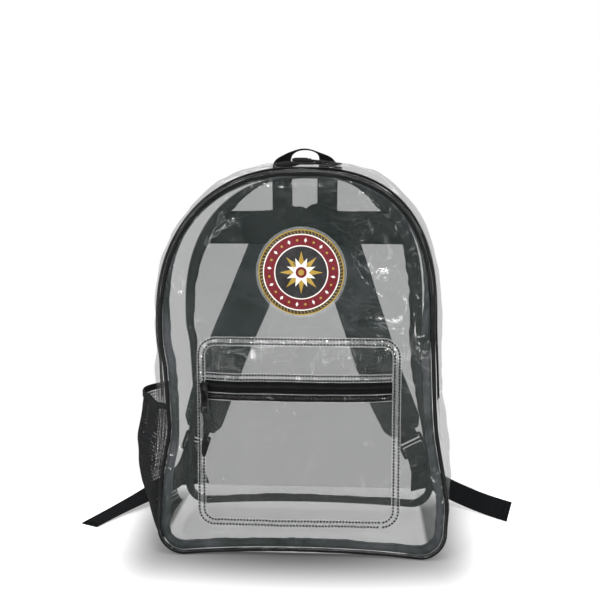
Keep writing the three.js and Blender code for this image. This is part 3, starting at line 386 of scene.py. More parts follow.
def strap(build, route, width, thick, shape, steps=60, mat=0, ripple=None):
    p, across, normal, wide, run = rails(route, steps)
    half = width / 2 * wide
    grid = p[:, None, :] + across[:, None, :] * (shape[None, :, 0:1] * half[:, None, None])
    grid = grid + normal[:, None, :] * (shape[None, :, 1:2] * thick / 2)
    if ripple is not None:
        grid = grid + normal[:, None, :] * ripple(run[:, None], shape[None, :, 0] * half[:, None])[:, :, None]
    u = np.broadcast_to((shape[None, :, 0] * half[:, None]), grid.shape[:2])
    v = np.broadcast_to(run[:, None], grid.shape[:2])
    build.grid(grid, np.stack([u, v], axis=-1), loop_c=True, mat=mat, caps=True)
    return p, across, normal, wide, run


def stitches(build, points, normals, pitch=3.0, share=0.6, width=0.7, high=0.35, mat=0, sink=0.15):
    """A row of thread dashes along a line of points, each a small ridge."""
    points = np.asarray(points, float)
    normals = np.asarray(normals, float)
    steps = np.linalg.norm(np.diff(points, axis=0), axis=1)
    length = np.concatenate([[0], np.cumsum(steps)])
    faces = [(0, 3, 5, 2), (1, 2, 5, 4), (0, 2, 1), (3, 4, 5)]
    for start in np.arange(pitch * 0.3, length[-1] - pitch * share, pitch):
        a, b = (np.array([np.interp(start + s, length, points[:, k]) for k in range(3)]) for s in (0, pitch * share))
        n = np.array([np.interp(start, length, normals[:, k]) for k in range(3)])
        n /= np.linalg.norm(n) + 1e-9
        side = np.cross(b - a, n)
        side *= width / 2 / (np.linalg.norm(side) + 1e-9)
        step = (b - a) * 0.12
        build.add([a + side - n * sink, a - side - n * sink, a + step + n * high, b + side - n * sink, b - side - n * sink,
                   b - step + n * high], faces, mat=mat)


# Materials
def material(name, base, rough, metallic=0.0, alpha=1.0, specular=0.5, coat=0.0, coat_rough=0.1, ior=1.5):
    mat = bpy.data.materials.new(name)
    mat.use_nodes = True
    bsdf = mat.node_tree.nodes["Principled BSDF"]
    bsdf.inputs["Base Color"].default_value = (*base, 1)
    bsdf.inputs["Roughness"].default_value = rough
    bsdf.inputs["Metallic"].default_value = metallic
    bsdf.inputs["Alpha"].default_value = alpha
    bsdf.inputs["Specular IOR Level"].default_value = specular
    bsdf.inputs["IOR"].default_value = ior
    bsdf.inputs["Coat Weight"].default_value = coat
    bsdf.inputs["Coat Roughness"].default_value = coat_rough
    return mat


class Nodes:
    """Short names for a material's nodes."""

    def __init__(self, mat):
        self.tree = mat.node_tree
        self.bsdf = self.tree.nodes["Principled BSDF"]

    def new(self, kind, **values):
        node = self.tree.nodes.new(kind)
        for key, value in values.items():
            setattr(node, key, value)
        return node

    def link(self, a, b):
        self.tree.links.new(a, b)

    def coords(self, which="Object", scale=(1, 1, 1), rotation=(0, 0, 0)):
        source = self.new("ShaderNodeTexCoord")
        mapping = self.new("ShaderNodeMapping")
        mapping.inputs["Scale"].default_value = scale
        mapping.inputs["Rotation"].default_value = rotation
        self.link(source.outputs[which], mapping.inputs["Vector"])
        return mapping.outputs["Vector"]

    def math(self, operation, a, b=None, c=None):
        node = self.new("ShaderNodeMath", operation=operation)
        for k, value in enumerate((a, b, c)):
            if value is None:
                continue
            if hasattr(value, "is_linked"):
                self.link(value, node.inputs[k])
            else:
                node.inputs[k].default_value = value
        return node.outputs[0]

    def noise(self, vector, scale, detail=3.0, rough=0.55, distortion=0.0):
        node = self.new("ShaderNodeTexNoise")
        node.inputs["Scale"].default_value = scale
        node.inputs["Detail"].default_value = detail
        node.inputs["Roughness"].default_value = rough
        node.inputs["Distortion"].default_value = distortion
        self.link(vector, node.inputs["Vector"])
        return node.outputs["Fac"]

    def ramp(self, value, low, high, start=0.0, end=1.0):
        node = self.new("ShaderNodeMapRange")
        self.link(value, node.inputs["Value"])
        node.inputs["From Min"].default_value = start
        node.inputs["From Max"].default_value = end
        node.inputs["To Min"].default_value = low
        node.inputs["To Max"].default_value = high
        return node.outputs["Result"]

    def colour(self, value, stops):
        node = self.new("ShaderNodeValToRGB")
        ramp = node.color_ramp
        ramp.elements[0].position, ramp.elements[1].position = stops[0][0], stops[-1][0]
        ramp.elements[0].color, ramp.elements[1].color = (*stops[0][1], 1), (*stops[-1][1], 1)
        for position, colour in stops[1:-1]:
            element = ramp.elements.new(position)
            element.color = (*colour, 1)
        self.link(value, node.inputs["Fac"])
        return node.outputs["Color"]

    def bump(self, height, strength, distance_m):
        node = self.new("ShaderNodeBump")
        node.inputs["Strength"].default_value = strength
        node.inputs["Distance"].default_value = distance_m
        self.link(height, node.inputs["Height"])
        previous = self.bsdf.inputs["Normal"]
        if previous.is_linked:
            self.link(previous.links[0].from_socket, node.inputs["Normal"])
        self.link(node.outputs["Normal"], self.bsdf.inputs["Normal"])

    def set(self, name, value):
        self.link(value, self.bsdf.inputs[name])


def weave(mat, pitch_u, pitch_v, strength, depth_m, dark, light, mottled=0.35, patches=None):
    """A plain weave from the piece's own lengths, with painted shade where the threads dive."""
    n = Nodes(mat)
    uv = n.coords("UV", (1 / pitch_u, 1 / pitch_v, 1))
    split = n.new("ShaderNodeSeparateXYZ")
    n.link(uv, split.inputs[0])
    u, v = split.outputs[0], split.outputs[1]
    over_u = n.math("ABSOLUTE", n.math("SINE", n.math("MULTIPLY", u, math.pi)))
    over_v = n.math("ABSOLUTE", n.math("SINE", n.math("MULTIPLY", v, math.pi)))
    checker = n.new("ShaderNodeTexChecker")
    checker.inputs["Scale"].default_value = 1.0
    n.link(uv, checker.inputs["Vector"])
    fac = checker.outputs["Fac"]
    keep = n.math("MULTIPLY", over_u, fac)
    other = n.math("MULTIPLY", over_v, n.math("SUBTRACT", 1.0, fac))
    height = n.math("ADD", keep, other)
    n.bump(height, strength, depth_m)
    wear = n.noise(n.coords("Object"), 60.0, 4.0)
    # Thread colour: painted shade where the threads dive, mixed with random tone.
    shade = n.math("ADD", n.math("MULTIPLY", height, 1 - mottled), n.math("MULTIPLY", wear, mottled))
    threads = n.colour(shade, [(0.15, dark), (0.9, light)])
    if patches:
        cast = n.colour(n.noise(n.coords("Object"), 16.0, 3.0, 0.6, 0.8), patches)
        mix = n.new("ShaderNodeMix", data_type="RGBA", blend_type="MULTIPLY")
        mix.inputs[0].default_value = 1.0
        n.link(threads, mix.inputs[6])
        n.link(cast, mix.inputs[7])
        threads = mix.outputs[2]
    n.set("Base Color", threads)
    return n


def film_material(name, alpha, tint, rough=(0.05, 0.16), relief=1.0, ior=1.6, coat=0.5):
    """Clear vinyl: a lone surface shader with fine ripples, and scuffs that dull it in places."""
    mat = material(name, tint, 0.1, alpha=alpha, coat=coat, coat_rough=0.03, ior=ior)
    n = Nodes(mat)
    place = n.coords("Object")
    fine = n.noise(place, 35.0, 3.0, 0.5, 0.6)
    scuff = n.noise(place, 14.0, 5.0, 0.65)
    n.set("Roughness", n.ramp(scuff, rough[0], rough[1], 0.3, 0.75))
    swirl = n.noise(n.coords("Object"), 9.0, 2.0, 0.5, 2.2)
    line = n.math("ABSOLUTE", n.math("SUBTRACT", n.math("FRACT", n.math("MULTIPLY", swirl, 14.0)), 0.5))
    mark = n.math("MULTIPLY", n.ramp(line, 1.0, 0.0, 0.0, 0.07), n.ramp(scuff, 0.0, 1.0, 0.42, 0.62))
    cloud = n.ramp(n.noise(n.coords("Object", (1, 1, 0.5)), 7.0, 4.0, 0.6, 1.0), 0.0, 1.0, 0.35, 0.8)
    haze = n.math("ADD", n.math("MULTIPLY", mark, 0.9), n.math("MULTIPLY", cloud, 0.14))
    pale = tuple(min(1.0, 0.16 + 1.2 * c) for c in tint)
    n.set("Base Color", n.colour(haze, [(0.0, tint), (1.0, pale)]))
    n.bump(fine, 0.25 * relief, 0.004)
    broad = n.noise(n.coords("Object", (1, 1, 0.55)), 11.0, 2.0, 0.5, 0.4)
    n.bump(broad, 0.35 * relief, 0.012)
    return mat


FILM = film_material("clear_film", 0.425, (0.016, 0.022, 0.02))
FILM_SIDE = film_material("clear_film_gusset", 0.3, (0.09, 0.095, 0.085), relief=1.4)
FILM_POCKET = film_material("clear_film_pocket", 0.1, (0.08, 0.08, 0.072), (0.04, 0.1), 1.2, 2.2, 1.0)
FILM_STRIP = film_material("clear_film_doubled", 0.36, (0.3, 0.31, 0.3), (0.06, 0.16), 1.6, 1.9, 1.0)

# Pale film for thin strips along cut edges: painted highlights where the edges catch light.
FILM_EDGE_HIGHLIGHT = film_material("clear_film_cut_edge", 0.62, (0.3, 0.31, 0.3), (0.1, 0.2), 1.0, 1.7, 1.0)

PIPE = material("piping_vinyl", (0.011, 0.012, 0.012), 0.2, specular=0.3, coat=0.25, coat_rough=0.06)
pipe = Nodes(PIPE)
pipe.bump(pipe.noise(pipe.coords("Object"), 900.0, 2.0), 0.25, 0.0004)
pipe.set("Roughness", pipe.ramp(pipe.noise(pipe.coords("Object"), 45.0, 4.0), 0.12, 0.26, 0.3, 0.7))
pipe.set("Base Color", pipe.colour(pipe.noise(pipe.coords("Object"), 30.0, 3.0), [(0.35, (0.002, 0.0022, 0.0025)), (0.7, (0.006, 0.0065, 0.007))]))

BIND = material("seam_tape", (0.07, 0.075, 0.08), 0.6, specular=0.4)
weave(BIND, 0.9, 0.7, 0.5, 0.0003, (0.025, 0.029, 0.031), (0.075, 0.084, 0.09),
      patches=[(0.34, (0.22, 0.34, 0.29)), (0.47, (0.9, 0.95, 0.93)), (0.6, (1.9, 1.72, 1.85))])
BIND_BACK = material("seam_tape_back", (0.012, 0.014, 0.014), 0.6, specular=0.4)
weave(BIND_BACK, 0.9, 0.7, 0.5, 0.0003, (0.005, 0.006, 0.006), (0.02, 0.023, 0.023),
      patches=[(0.35, (0.4, 0.75, 0.6)), (0.5, (0.9, 1.0, 1.0)), (0.68, (1.6, 1.5, 1.7))])
TAPE = material("zip_tape", (0.012, 0.012, 0.013), 0.8, specular=0.1)
weave(TAPE, 0.7, 0.6, 0.5, 0.0003, (0.0015, 0.0015, 0.0018), (0.006, 0.006, 0.0066))
COIL = material("zip_coil", (0.012, 0.012, 0.013), 0.35, specular=0.25)
coil_nodes = Nodes(COIL)
coil_nodes.set("Base Color", coil_nodes.colour(coil_nodes.noise(coil_nodes.coords("Object"), 500.0, 2.0), [(0.3, (0.003, 0.003, 0.0035)), (0.75, (0.012, 0.012, 0.014))]))
WEB = material("webbing", (0.02, 0.022, 0.024), 0.85, specular=0.12)
weave(WEB, 1.25, 0.95, 0.8, 0.0005, (0.002, 0.0022, 0.0025), (0.011, 0.012, 0.0135))
# The straps and the yoke are one cloth: the straps' copy is painted lighter than the yoke's, as painted light.
CLOTH = material("strap_cloth", (0.04, 0.045, 0.045), 0.9, specular=0.12)
weave(CLOTH, 0.75, 0.75, 0.6, 0.0003, (0.02, 0.025, 0.025), (0.066, 0.076, 0.078),
      patches=[(0.36, (0.28, 0.42, 0.4)), (0.49, (0.9, 1.0, 0.99)), (0.61, (1.9, 1.7, 1.95))])
YOKE_CLOTH = material("yoke_cloth", (0.03, 0.034, 0.034), 0.9, specular=0.12)
weave(YOKE_CLOTH, 0.75, 0.75, 0.6, 0.0003, (0.005, 0.007, 0.007), (0.018, 0.023, 0.023),
      patches=[(0.33, (0.25, 0.4, 0.4)), (0.48, (0.85, 1.0, 0.98)), (0.66, (2.2, 2.0, 2.3))])
EDGE = material("strap_edging", (0.016, 0.017, 0.018), 0.75, specular=0.3)
weave(EDGE, 0.8, 0.8, 0.6, 0.0003, (0.003, 0.0035, 0.004), (0.012, 0.013, 0.014))
NET = material("net_cord", (0.012, 0.013, 0.014), 0.7, specular=0.2)
net_nodes = Nodes(NET)
net_nodes.set("Base Color", net_nodes.colour(net_nodes.noise(net_nodes.coords("Object"), 400.0, 2.0), [(0.3, (0.003, 0.003, 0.0035)), (0.75, (0.022, 0.023, 0.025))]))
THREAD = material("thread_dark", (0.006, 0.006, 0.007), 0.95, specular=0.02)
thread_nodes = Nodes(THREAD)
thread_nodes.set("Base Color", thread_nodes.colour(thread_nodes.noise(thread_nodes.coords("Object"), 800.0, 2.0), [(0.3, (0.001, 0.001, 0.0012)), (0.7, (0.006, 0.006, 0.007))]))
PAINT = material("black_painted_metal", (0.012, 0.012, 0.013), 0.3, metallic=0.2, specular=0.35, coat=0.3)
paint_nodes = Nodes(PAINT)
paint_nodes.set("Roughness", paint_nodes.ramp(paint_nodes.noise(paint_nodes.coords("Object"), 220.0, 4.0), 0.2, 0.45, 0.3, 0.7))
paint_nodes.set("Base Color", paint_nodes.colour(paint_nodes.noise(paint_nodes.coords("Object"), 160.0, 4.0), [(0.4, (0.003, 0.003, 0.0035)), (0.8, (0.02, 0.02, 0.022))]))
paint_nodes.bump(paint_nodes.noise(paint_nodes.coords("Object"), 1500.0, 2.0), 0.15, 0.0002)
MOULD = material("moulded_plastic", (0.012, 0.013, 0.014), 0.4, specular=0.2)
mould_nodes = Nodes(MOULD)
mould_nodes.set("Roughness", mould_nodes.ramp(mould_nodes.noise(mould_nodes.coords("Object"), 300.0, 3.0), 0.6, 0.75, 0.3, 0.7))
mould_nodes.bump(mould_nodes.noise(mould_nodes.coords("Object"), 2500.0, 2.0), 0.3, 0.0002)
mould_nodes.set("Base Color", mould_nodes.colour(mould_nodes.noise(mould_nodes.coords("Object"), 90.0, 3.0), [(0.35, (0.003, 0.003, 0.0035)), (0.75, (0.01, 0.0105, 0.0115))]))
CORD = material("pull_cord", (0.02, 0.021, 0.022), 0.75)
cord_nodes = weave(CORD, 0.5, 0.6, 0.8, 0.0003, (0.003, 0.003, 0.0035), (0.016, 0.017, 0.018))


def print_colour(name, base, worn):
    """Printed vinyl of the badge: its colour, thinned in fine scratches, under a satin gloss."""
    mat = material(name, base, 0.35, specular=0.2)
    n = Nodes(mat)
    wear = n.noise(n.coords("Object", (1, 1, 1)), 120.0, 6.0, 0.7)
    n.set("Base Color", n.colour(wear, [(0.35, base), (0.78, worn)]))
    n.set("Roughness", n.ramp(wear, 0.28, 0.5, 0.3, 0.7))
    n.bump(n.noise(n.coords("Object"), 45.0, 2.0), 0.15, 0.001)
    return mat


MAROON = print_colour("badge_maroon", (0.1, 0.006, 0.01), (0.14, 0.015, 0.022))
GOLD = print_colour("badge_gold", (0.25, 0.16, 0.02), (0.33, 0.23, 0.06))
INK = print_colour("badge_black", (0.014, 0.013, 0.014), (0.035, 0.034, 0.035))
CHALK = print_colour("badge_white", (0.55, 0.53, 0.5), (0.64, 0.62, 0.59))

# Film: front, back and the three stretches of the gusset
ZIP_RIGHT = ring_place("right", HEIGHT * 0.41)
ZIP_LEFT = ring_place("left", HEIGHT * 0.41)
RIM_INSET = PIPING / 2 + 0.3

# Creases of the front panel: x0, z0, x1, z1, height, width
FRONT_CREASES = [
    (-112, 246, -84, 214, 1.6, 3.5), (-116, 252, -128, 300, 1.8, 5.0), (118, 250, 128, 292, 1.8, 4.0),
    (114, 252, 60, 262, 1.6, 4.0), (-60, 416, 60, 418, 2.4, 5.0), (70, 404, 108, 372, 2.2, 4.0),
    (-104, 384, -134, 330, 2.2, 5.0), (126, 340, 138, 270, 2.0, 5.0), (-134, 250, -130, 190, 1.8, 5.0),
    (138, 200, 136, 120, 2.0, 6.0), (-130, 120, -136, 60, 2.0, 6.0), (-40, 20, 40, 22, 1.8, 5.0),
    (60, 330, 100, 290, 1.5, 6.0), (-66, 372, -96, 352, 1.4, 5.0),
]
# Creases of the pocket, the same columns
POCKET_CREASES = [
    (-106, 240, -57, 221, 2.4, 2.0), (-106, 238, -62, 209, 2.6, 1.9), (-104, 234, -84, 206, 1.9, 1.8),
    (108, 238, 62, 214, 2.5, 2.1), (108, 236, 80, 208, 2.2, 1.8), (104, 240, 50, 230, 1.6, 2.2),
    (-24, 229, -10, 230, 1.4, 2.4), (-22, 222, -6, 223, 1.5, 2.0), (-82, 214, -72, 211, 1.4, 2.0),
    (-44, 224, -38, 216, 1.2, 2.0), (-96, 172, -80, 120, 1.2, 4.0), (96, 176, 84, 112, 1.3, 4.0),
    (-98, 60, -70, 88, 1.4, 3.5), (102, 56, 66, 84, 1.5, 3.5), (-60, 50, 40, 54, 1.2, 4.0),
    (-20, 168, 50, 160, 1.0, 4.0), (100, 182, 70, 176, 1.4, 2.4),
]


def scattered(seed, count, low, high, length, height, width):
    """Rows of small creases strewn over a rectangle, the same on every run."""
    rng = np.random.default_rng(seed)
    rows = []
    for _ in range(count):
        x, z = rng.uniform(low[0], high[0]), rng.uniform(low[1], high[1])
        angle, reach = rng.uniform(0, math.pi), rng.uniform(*length)
        rows.append((x, z, x + reach * math.cos(angle), z + reach * math.sin(angle), rng.uniform(*height), rng.uniform(*width)))
    return rows


FRONT_CREASES += scattered(101, 26, (-140, 20), (145, 410), (8, 30), (0.2, 0.6), (2.0, 5.0))
FRONT_CREASES += scattered(102, 30, (-130, 8), (150, 32), (3, 9), (0.4, 0.8), (1.0, 1.8))
POCKET_CREASES += scattered(103, 34, (-104, 40), (106, 178), (3, 24), (0.25, 0.6), (1.2, 3.0))
POCKET_CREASES += scattered(104, 20, (-100, 204), (104, 240), (3, 16), (0.4, 0.8), (1.0, 2.2))


def away_from_seam(x, z):
    """Distance to the nearest point of the seam."""
    flat = np.stack([np.ravel(x), np.ravel(z)], axis=-1)
    best = np.full(len(flat), 1e9)
    for place in RING[::5]:
        best = np.minimum(best, np.sum((flat - place) ** 2, axis=1))
    return np.sqrt(best).reshape(np.shape(x))


def face_y(x, z):
    """The front film as it really lies, with its waves and creases."""
    x, z = np.broadcast_arrays(np.asarray(x, float), np.asarray(z, float))
    hold = np.clip(away_from_seam(x, z) / 26, 0, 1) ** 1.2
    p = np.stack([x, 0 * x, z], axis=-1)
    relief = 0.9 * field(p, 95, 11) + 0.2 * field(p, 38, 12) + 0.35 * ridged(p, 130, 13, 4)
    return front_y(x, z) - 0.2 - hold * (relief + creases(x, z, FRONT_CREASES))


def panel(name, surface, sign, seed, replaces, mat):
    """A flat film panel, from its seam to its middle; sign is -1 where out is to the front."""
    at = np.linspace(0, RING_LENGTH, 400, endpoint=False)
    x, z, nx, nz, _ = on_ring(at)
    shares = np.linspace(0, 1, 72) ** 1.1
    shares[-1] = 0.985
    rim = RIM_INSET if sign < 0 else 0.0
    rim_x, rim_z = x - nx * rim, z - nz * rim
    px = rim_x[:, None] * (1 - shares)
    pz = rim_z[:, None] + (HEIGHT / 2 - rim_z[:, None]) * shares
    pucker = 0.8 * np.sin(at * 2 * math.pi / 17 + 1.3 * np.sin(at / 41) + seed)[:, None] * np.exp(-shares * 22)[None, :]
    py = surface(px, pz) + sign * pucker * np.minimum(1, shares * 40)
    build = Build(name, mat)
    build.grid(np.stack([px, py, pz], axis=-1), np.stack([px, pz], axis=-1), loop_r=True)
    build.f.append(tuple(r * len(shares) + len(shares) - 1 for r in range(len(at))))
    build.m.append(0)
    return build.done(replaces)


def rear_y(x, z):
    """The back film as it really lies."""
    hold = np.clip(away_from_seam(x, z) / 26, 0, 1) ** 1.2
    p = np.stack([x, 0 * x, z], axis=-1)
    return back_y(x, z) + hold * (0.45 * field(p, 95, 23) + 0.2 * field(p, 38, 24))


panel("front_film", face_y, -1, 0.0, ["front_panel"], FILM)
panel("back_film", rear_y, 1, 2.0, ["back_panel"], FILM)


def gusset_film(name, start, end, near, far, columns, seed, replaces, waves=1.0):
    """A stretch of the gusset film between two depth lines, each a share and millimetres."""
    steps = max(8, int((end - start) / 3.2))
    at = np.linspace(start, end, steps)[:, None]
    t = np.linspace(0, 1, columns)[None, :]
    share = near[0] + (far[0] - near[0]) * t + 0 * at
    plus = near[1] + (far[1] - near[1]) * t + 0 * at
    p = gusset(at + 0 * t, share, plus)
    n = normals_of(p)
    out = np.stack([on_ring(at)[2] + 0 * t, 0 * share, on_ring(at)[3] + 0 * t], axis=-1)
    n *= np.sign(np.sum(n * out, axis=-1, keepdims=True) + 1e-9)
    hold = np.minimum(1, np.minimum(t, 1 - t) * 7)
    rise = hold * (0.9 * field(p, 80, seed) + 0.9 * ridged(p, 95, seed + 1, 4) + 0.35 * field(p, 30, seed + 2))
    pucker = np.sin(at * 2 * math.pi / 15 + 1.7 * np.sin(at / 37)) * (np.exp(-t * 14) + np.exp(-(1 - t) * 14))
    low = np.clip(p[..., 2] / 12, 0, 1)
    p = p + n * ((rise + 0.5 * pucker * np.minimum(1, hold * 3)) * waves * low)[..., None]
    p[..., 2] = np.maximum(p[..., 2], 0.05)
    build = Build(name, FILM_SIDE)
    build.grid(p, np.stack([at + 0 * t, share * DEPTH + plus], axis=-1))
    return build.done(replaces)


gusset_film("gusset_front_film", ZIP_RIGHT, ZIP_LEFT, (0, RIM_INSET), (0, ZIP_SETBACK - 0.3), 5, 31, ["gusset_front"], 0.3)
gusset_film("gusset_rear_film", ZIP_RIGHT, ZIP_LEFT, (0, ZIP_SETBACK + ZIP_WIDTH), (1, -0.3), 40, 37, ["gusset_rear"])
gusset_film("gusset_bottom_film", ZIP_LEFT - RING_LENGTH, ZIP_RIGHT, (0, RIM_INSET), (1, -0.3), 46, 43, ["gusset_bottom"])


# Seams: piping and the tapes inside
def piping():
    at = np.linspace(0, RING_LENGTH, 720, endpoint=False)
    x, z, nx, nz, _ = on_ring(at)
    y = front_y(x, z)
    angles = np.linspace(0, 2 * math.pi, 16, endpoint=False)
    radius = PIPING / 2 * (1 + 0.42 * rise_between(z, 190, 340)) * (1 + 0.035 * np.sin(at / 5.5 + 2 * np.sin(at / 23)) + 0.03 * np.sin(at / 31))
    out = radius[:, None] * np.cos(angles)
    deep = radius[:, None] * np.sin(angles)
    p = np.stack([x[:, None] + nx[:, None] * out, y[:, None] + deep, z[:, None] + nz[:, None] * out], axis=-1)
    build = Build("piping", PIPE, THREAD)
    build.grid(p, np.stack([out, at[:, None] + 0 * out], axis=-1), loop_r=True, loop_c=True)
    build.done(["front_piping"])


def seam_tape(name, surface, inset, depth, thick, replaces, seed, mat, crown_share):
    """A woven tape folded over an inner seam, with two rows of stitches, narrower over the crown."""
    at = np.linspace(0, RING_LENGTH, 600, endpoint=False)
    x, z, nx, nz, _ = on_ring(at)
    wobble = 0.5 * np.sin(at / 19 + seed) + 0.35 * np.sin(at / 7.3)
    wobble = wobble + 0.25 * field(np.stack([x, 0 * x, z], -1), 11, 81)
    narrow = 1 - (1 - crown_share) * rise_between(z, 240, 370) * (1 - (crown_share > 0.35) * rise_between(np.abs(x), 60, 100))
    narrow = narrow + (crown_share > 0.35) * 0.5 * (1.5 * rise_between(x, 40, 110) * rise_between(z, 90, 240) + 0.9 * rise_between(-x, 40, 90) * rise_between(z, 230, 320))
    widths = (np.linspace(0, BINDING_WIDTH, 6)[None, :] + wobble[:, None] * np.linspace(0, 1, 6)[None, :]) * narrow[:, None]
    px = x[:, None] - nx[:, None] * (inset + widths)
    pz = z[:, None] - nz[:, None] * (inset + widths)
    crown = np.sin(np.linspace(0, 1, 6) * math.pi)[None, :] * 0.35
    near = surface(px, pz) + depth - crown
    far = near + thick + 2 * crown
    ring = np.concatenate([np.stack([px, near, pz], -1), np.stack([px, far, pz], -1)[:, ::-1]], axis=1)
    uv = np.concatenate([widths, widths[:, ::-1]], axis=1)
    build = Build(name, mat, THREAD)
    build.grid(ring, np.stack([uv, at[:, None] + 0 * uv], -1), loop_r=True, loop_c=True)
    for column, face in ((1, near), (4, near), (1, far), (4, far)):
        line = np.stack([px[:, column], face[:, column], pz[:, column]], -1)
        facing = np.tile([0, -1.0 if face is near else 1.0, 0], (len(line), 1))
        stitches(build, line, facing, 3.2, 0.62, 0.55, 0.3, 1)
    build.done(replaces)


piping()
seam_tape("front_seam_tape", front_y, RIM_INSET, 1.7, 1.3, ["front_binding"], 0.0, BIND, 0.25)
seam_tape("back_seam_tape", back_y, 1.7, -1.7, 1.3, ["back_binding"], 2.0, BIND_BACK, 0.4)


def zip_teeth(build, line, across, out, pitch, reach, thick, mat):
    """Coil turns of a closed zip: from both sides in turn, each a short rounded bar over the middle line."""
    steps = np.linalg.norm(np.diff(line, axis=0), axis=1)
    length = np.concatenate([[0], np.cumsum(steps)])
    faces = [(0, 1, 2, 3), (4, 7, 6, 5), (0, 4, 5, 1), (1, 5, 6, 2), (2, 6, 7, 3), (3, 7, 4, 0)]
    for k, place in enumerate(np.arange(0, length[-1], pitch / 2)):
        sign = 1 if k % 2 else -1
        c, a, n = (np.array([np.interp(place, length, q[:, j]) for j in range(3)]) for q in (line, across, out))
        ahead = np.cross(a, n)
        ahead /= np.linalg.norm(ahead) + 1e-9
        w = pitch * 0.23
        start = c - a * sign * reach * 0.28
        end = c + a * sign * reach
        lean = ahead * sign * pitch * 0.12
        verts = [start - ahead * w, start + ahead * w, start + ahead * w * 0.7 + n * thick, start - ahead * w * 0.7 + n * thick,
                 end - ahead * w + lean, end + ahead * w + lean, end + ahead * w * 0.7 + n * thick * 0.55 + lean,
                 end - ahead * w * 0.7 + n * thick * 0.55 + lean]
        build.add(verts, faces, mat=mat)


def main_zip():
    at = np.linspace(ZIP_RIGHT, ZIP_LEFT, 520)
    plus = np.linspace(ZIP_SETBACK, ZIP_SETBACK + ZIP_WIDTH, 8)
    p = gusset(at[:, None] + 0 * plus, 0, plus[None, :] + 0 * at[:, None])
    _, _, nx, nz, _ = on_ring(at)
    out = np.stack([nx, 0 * nx, nz], -1)
    ridge = np.array([0.2, 0.1, 0, 0.35, 0.35, 0, 0.1, 0.2])
    top = p + out[:, None, :] * (ridge[None, :, None] + 0.25 * np.sin(at / 9)[:, None, None] * np.abs(plus - 26)[None, :, None] / 14)
    ring = np.concatenate([top, (top - out[:, None, :] * 0.7)[:, ::-1]], axis=1)
    uv = np.concatenate([plus, plus[::-1]])[None, :] + 0 * at[:, None]
    build = Build("main_zip", TAPE, COIL, THREAD)
    build.grid(ring, np.stack([uv, at[:, None] + 0 * uv], -1), loop_c=True, caps=True)
    middle = gusset(at, 0, ZIP_SETBACK + ZIP_WIDTH / 2, 0.5)
    beside = gusset(at, 0, ZIP_SETBACK + ZIP_WIDTH / 2 + 1, 0.5) - middle
    beside /= np.linalg.norm(beside, axis=1)[:, None]
    zip_teeth(build, middle, beside, out, 2.0, 2.9, 1.5, 1)
    for edge in (2.2, 4.6, ZIP_WIDTH - 4.6, ZIP_WIDTH - 2.2):
        stitches(build, gusset(at, 0, ZIP_SETBACK + edge, 0.15), out, 3.0, 0.62, 0.6, 0.35, 2)
    build.done(["main_zip_tape", "main_zip_coil"])


main_zip()


# Front pocket
def pocket_half(z):
    """Half the pocket's width at a height."""
    up = np.minimum(z - POCKET_FOOT, POCKET_FOOT + POCKET_HEIGHT - z)
    cut = np.clip(POCKET_CORNER - up, 0, POCKET_CORNER)
    return POCKET_WIDTH / 2 - POCKET_CORNER + np.sqrt(np.maximum(0, POCKET_CORNER**2 - cut**2))


def pocket_y(x, z, off=0.0):
    """The pocket's film, a number of millimetres out from it."""
    x, z = np.broadcast_arrays(np.asarray(x, float), np.asarray(z, float))
    u = np.minimum(1, np.abs(x - POCKET_SHIFT) / (POCKET_WIDTH / 2))
    v = np.minimum(1, np.abs(z - POCKET_MIDDLE) / (POCKET_HEIGHT / 2))
    edge = (1 - u**6) * (1 - v**6)
    lift = 1.1 + POCKET_RISE * (1 - u**3) * (1 - v**3)
    p = np.stack(np.broadcast_arrays(x, 0 * x, z), axis=-1).astype(float)
    relief = 0.8 * field(p, 70, 51) + 0.3 * field(p, 26, 52) + 0.7 * ridged(p, 80, 53, 5)
    rim = np.minimum(POCKET_WIDTH / 2 * (1 - u), POCKET_HEIGHT / 2 * (1 - v))
    pucker = 0.45 * np.sin(p[..., 0] / 2.9 + 1.1 * np.sin(p[..., 0] / 17)) * np.sin(p[..., 2] / 3.1 + 0.8 * np.sin(p[..., 2] / 13))
    pucker = pucker * np.exp(-((rim - 5) / 7) ** 2)
    return face_y(x, z) - lift - edge * (relief + creases(x, z, POCKET_CREASES)) - pucker - off


def pocket_part(name, low, high, off, mat, half=None, rows=40, columns=150, replaces=()):
    z = np.linspace(low, high, rows)[:, None]
    reach = pocket_half(z) if half is None else np.full_like(z, half)
    x = POCKET_SHIFT + reach * np.linspace(-1, 1, columns)[None, :]
    z = z + 0 * x
    build = Build(name, mat)
    build.grid(np.stack([x, pocket_y(x, z, off), z], -1), np.stack([x, z], -1))
    return build.done(replaces)


ZIP_Z = POCKET_FOOT + POCKET_ZIP_UP
ZIP_LOW = ZIP_Z - POCKET_ZIP_OPEN / 2
ZIP_HIGH = ZIP_Z + POCKET_ZIP_OPEN / 2
INNER = POCKET_WIDTH / 2 - BORDER_WIDTH - 0.3
pocket_part("pocket_film", POCKET_FOOT + 0.02, ZIP_LOW, 0.4, FILM_POCKET, rows=110, replaces=["pocket_panel"])
pocket_part("pocket_top_film", ZIP_HIGH, POCKET_FOOT + POCKET_HEIGHT - 0.02, 0.4, FILM_POCKET, rows=44, replaces=["pocket_top_band"])
pocket_part("pocket_zip_strip_upper", ZIP_HIGH, ZIP_HIGH + STRIP_WIDTH, 1.8, FILM_STRIP, INNER, 8, 220, ["pocket_strip_upper"])
pocket_part("pocket_zip_strip_lower", ZIP_LOW - STRIP_WIDTH, ZIP_LOW, 1.8, FILM_POCKET, INNER, 8, 220, ["pocket_strip_lower"])


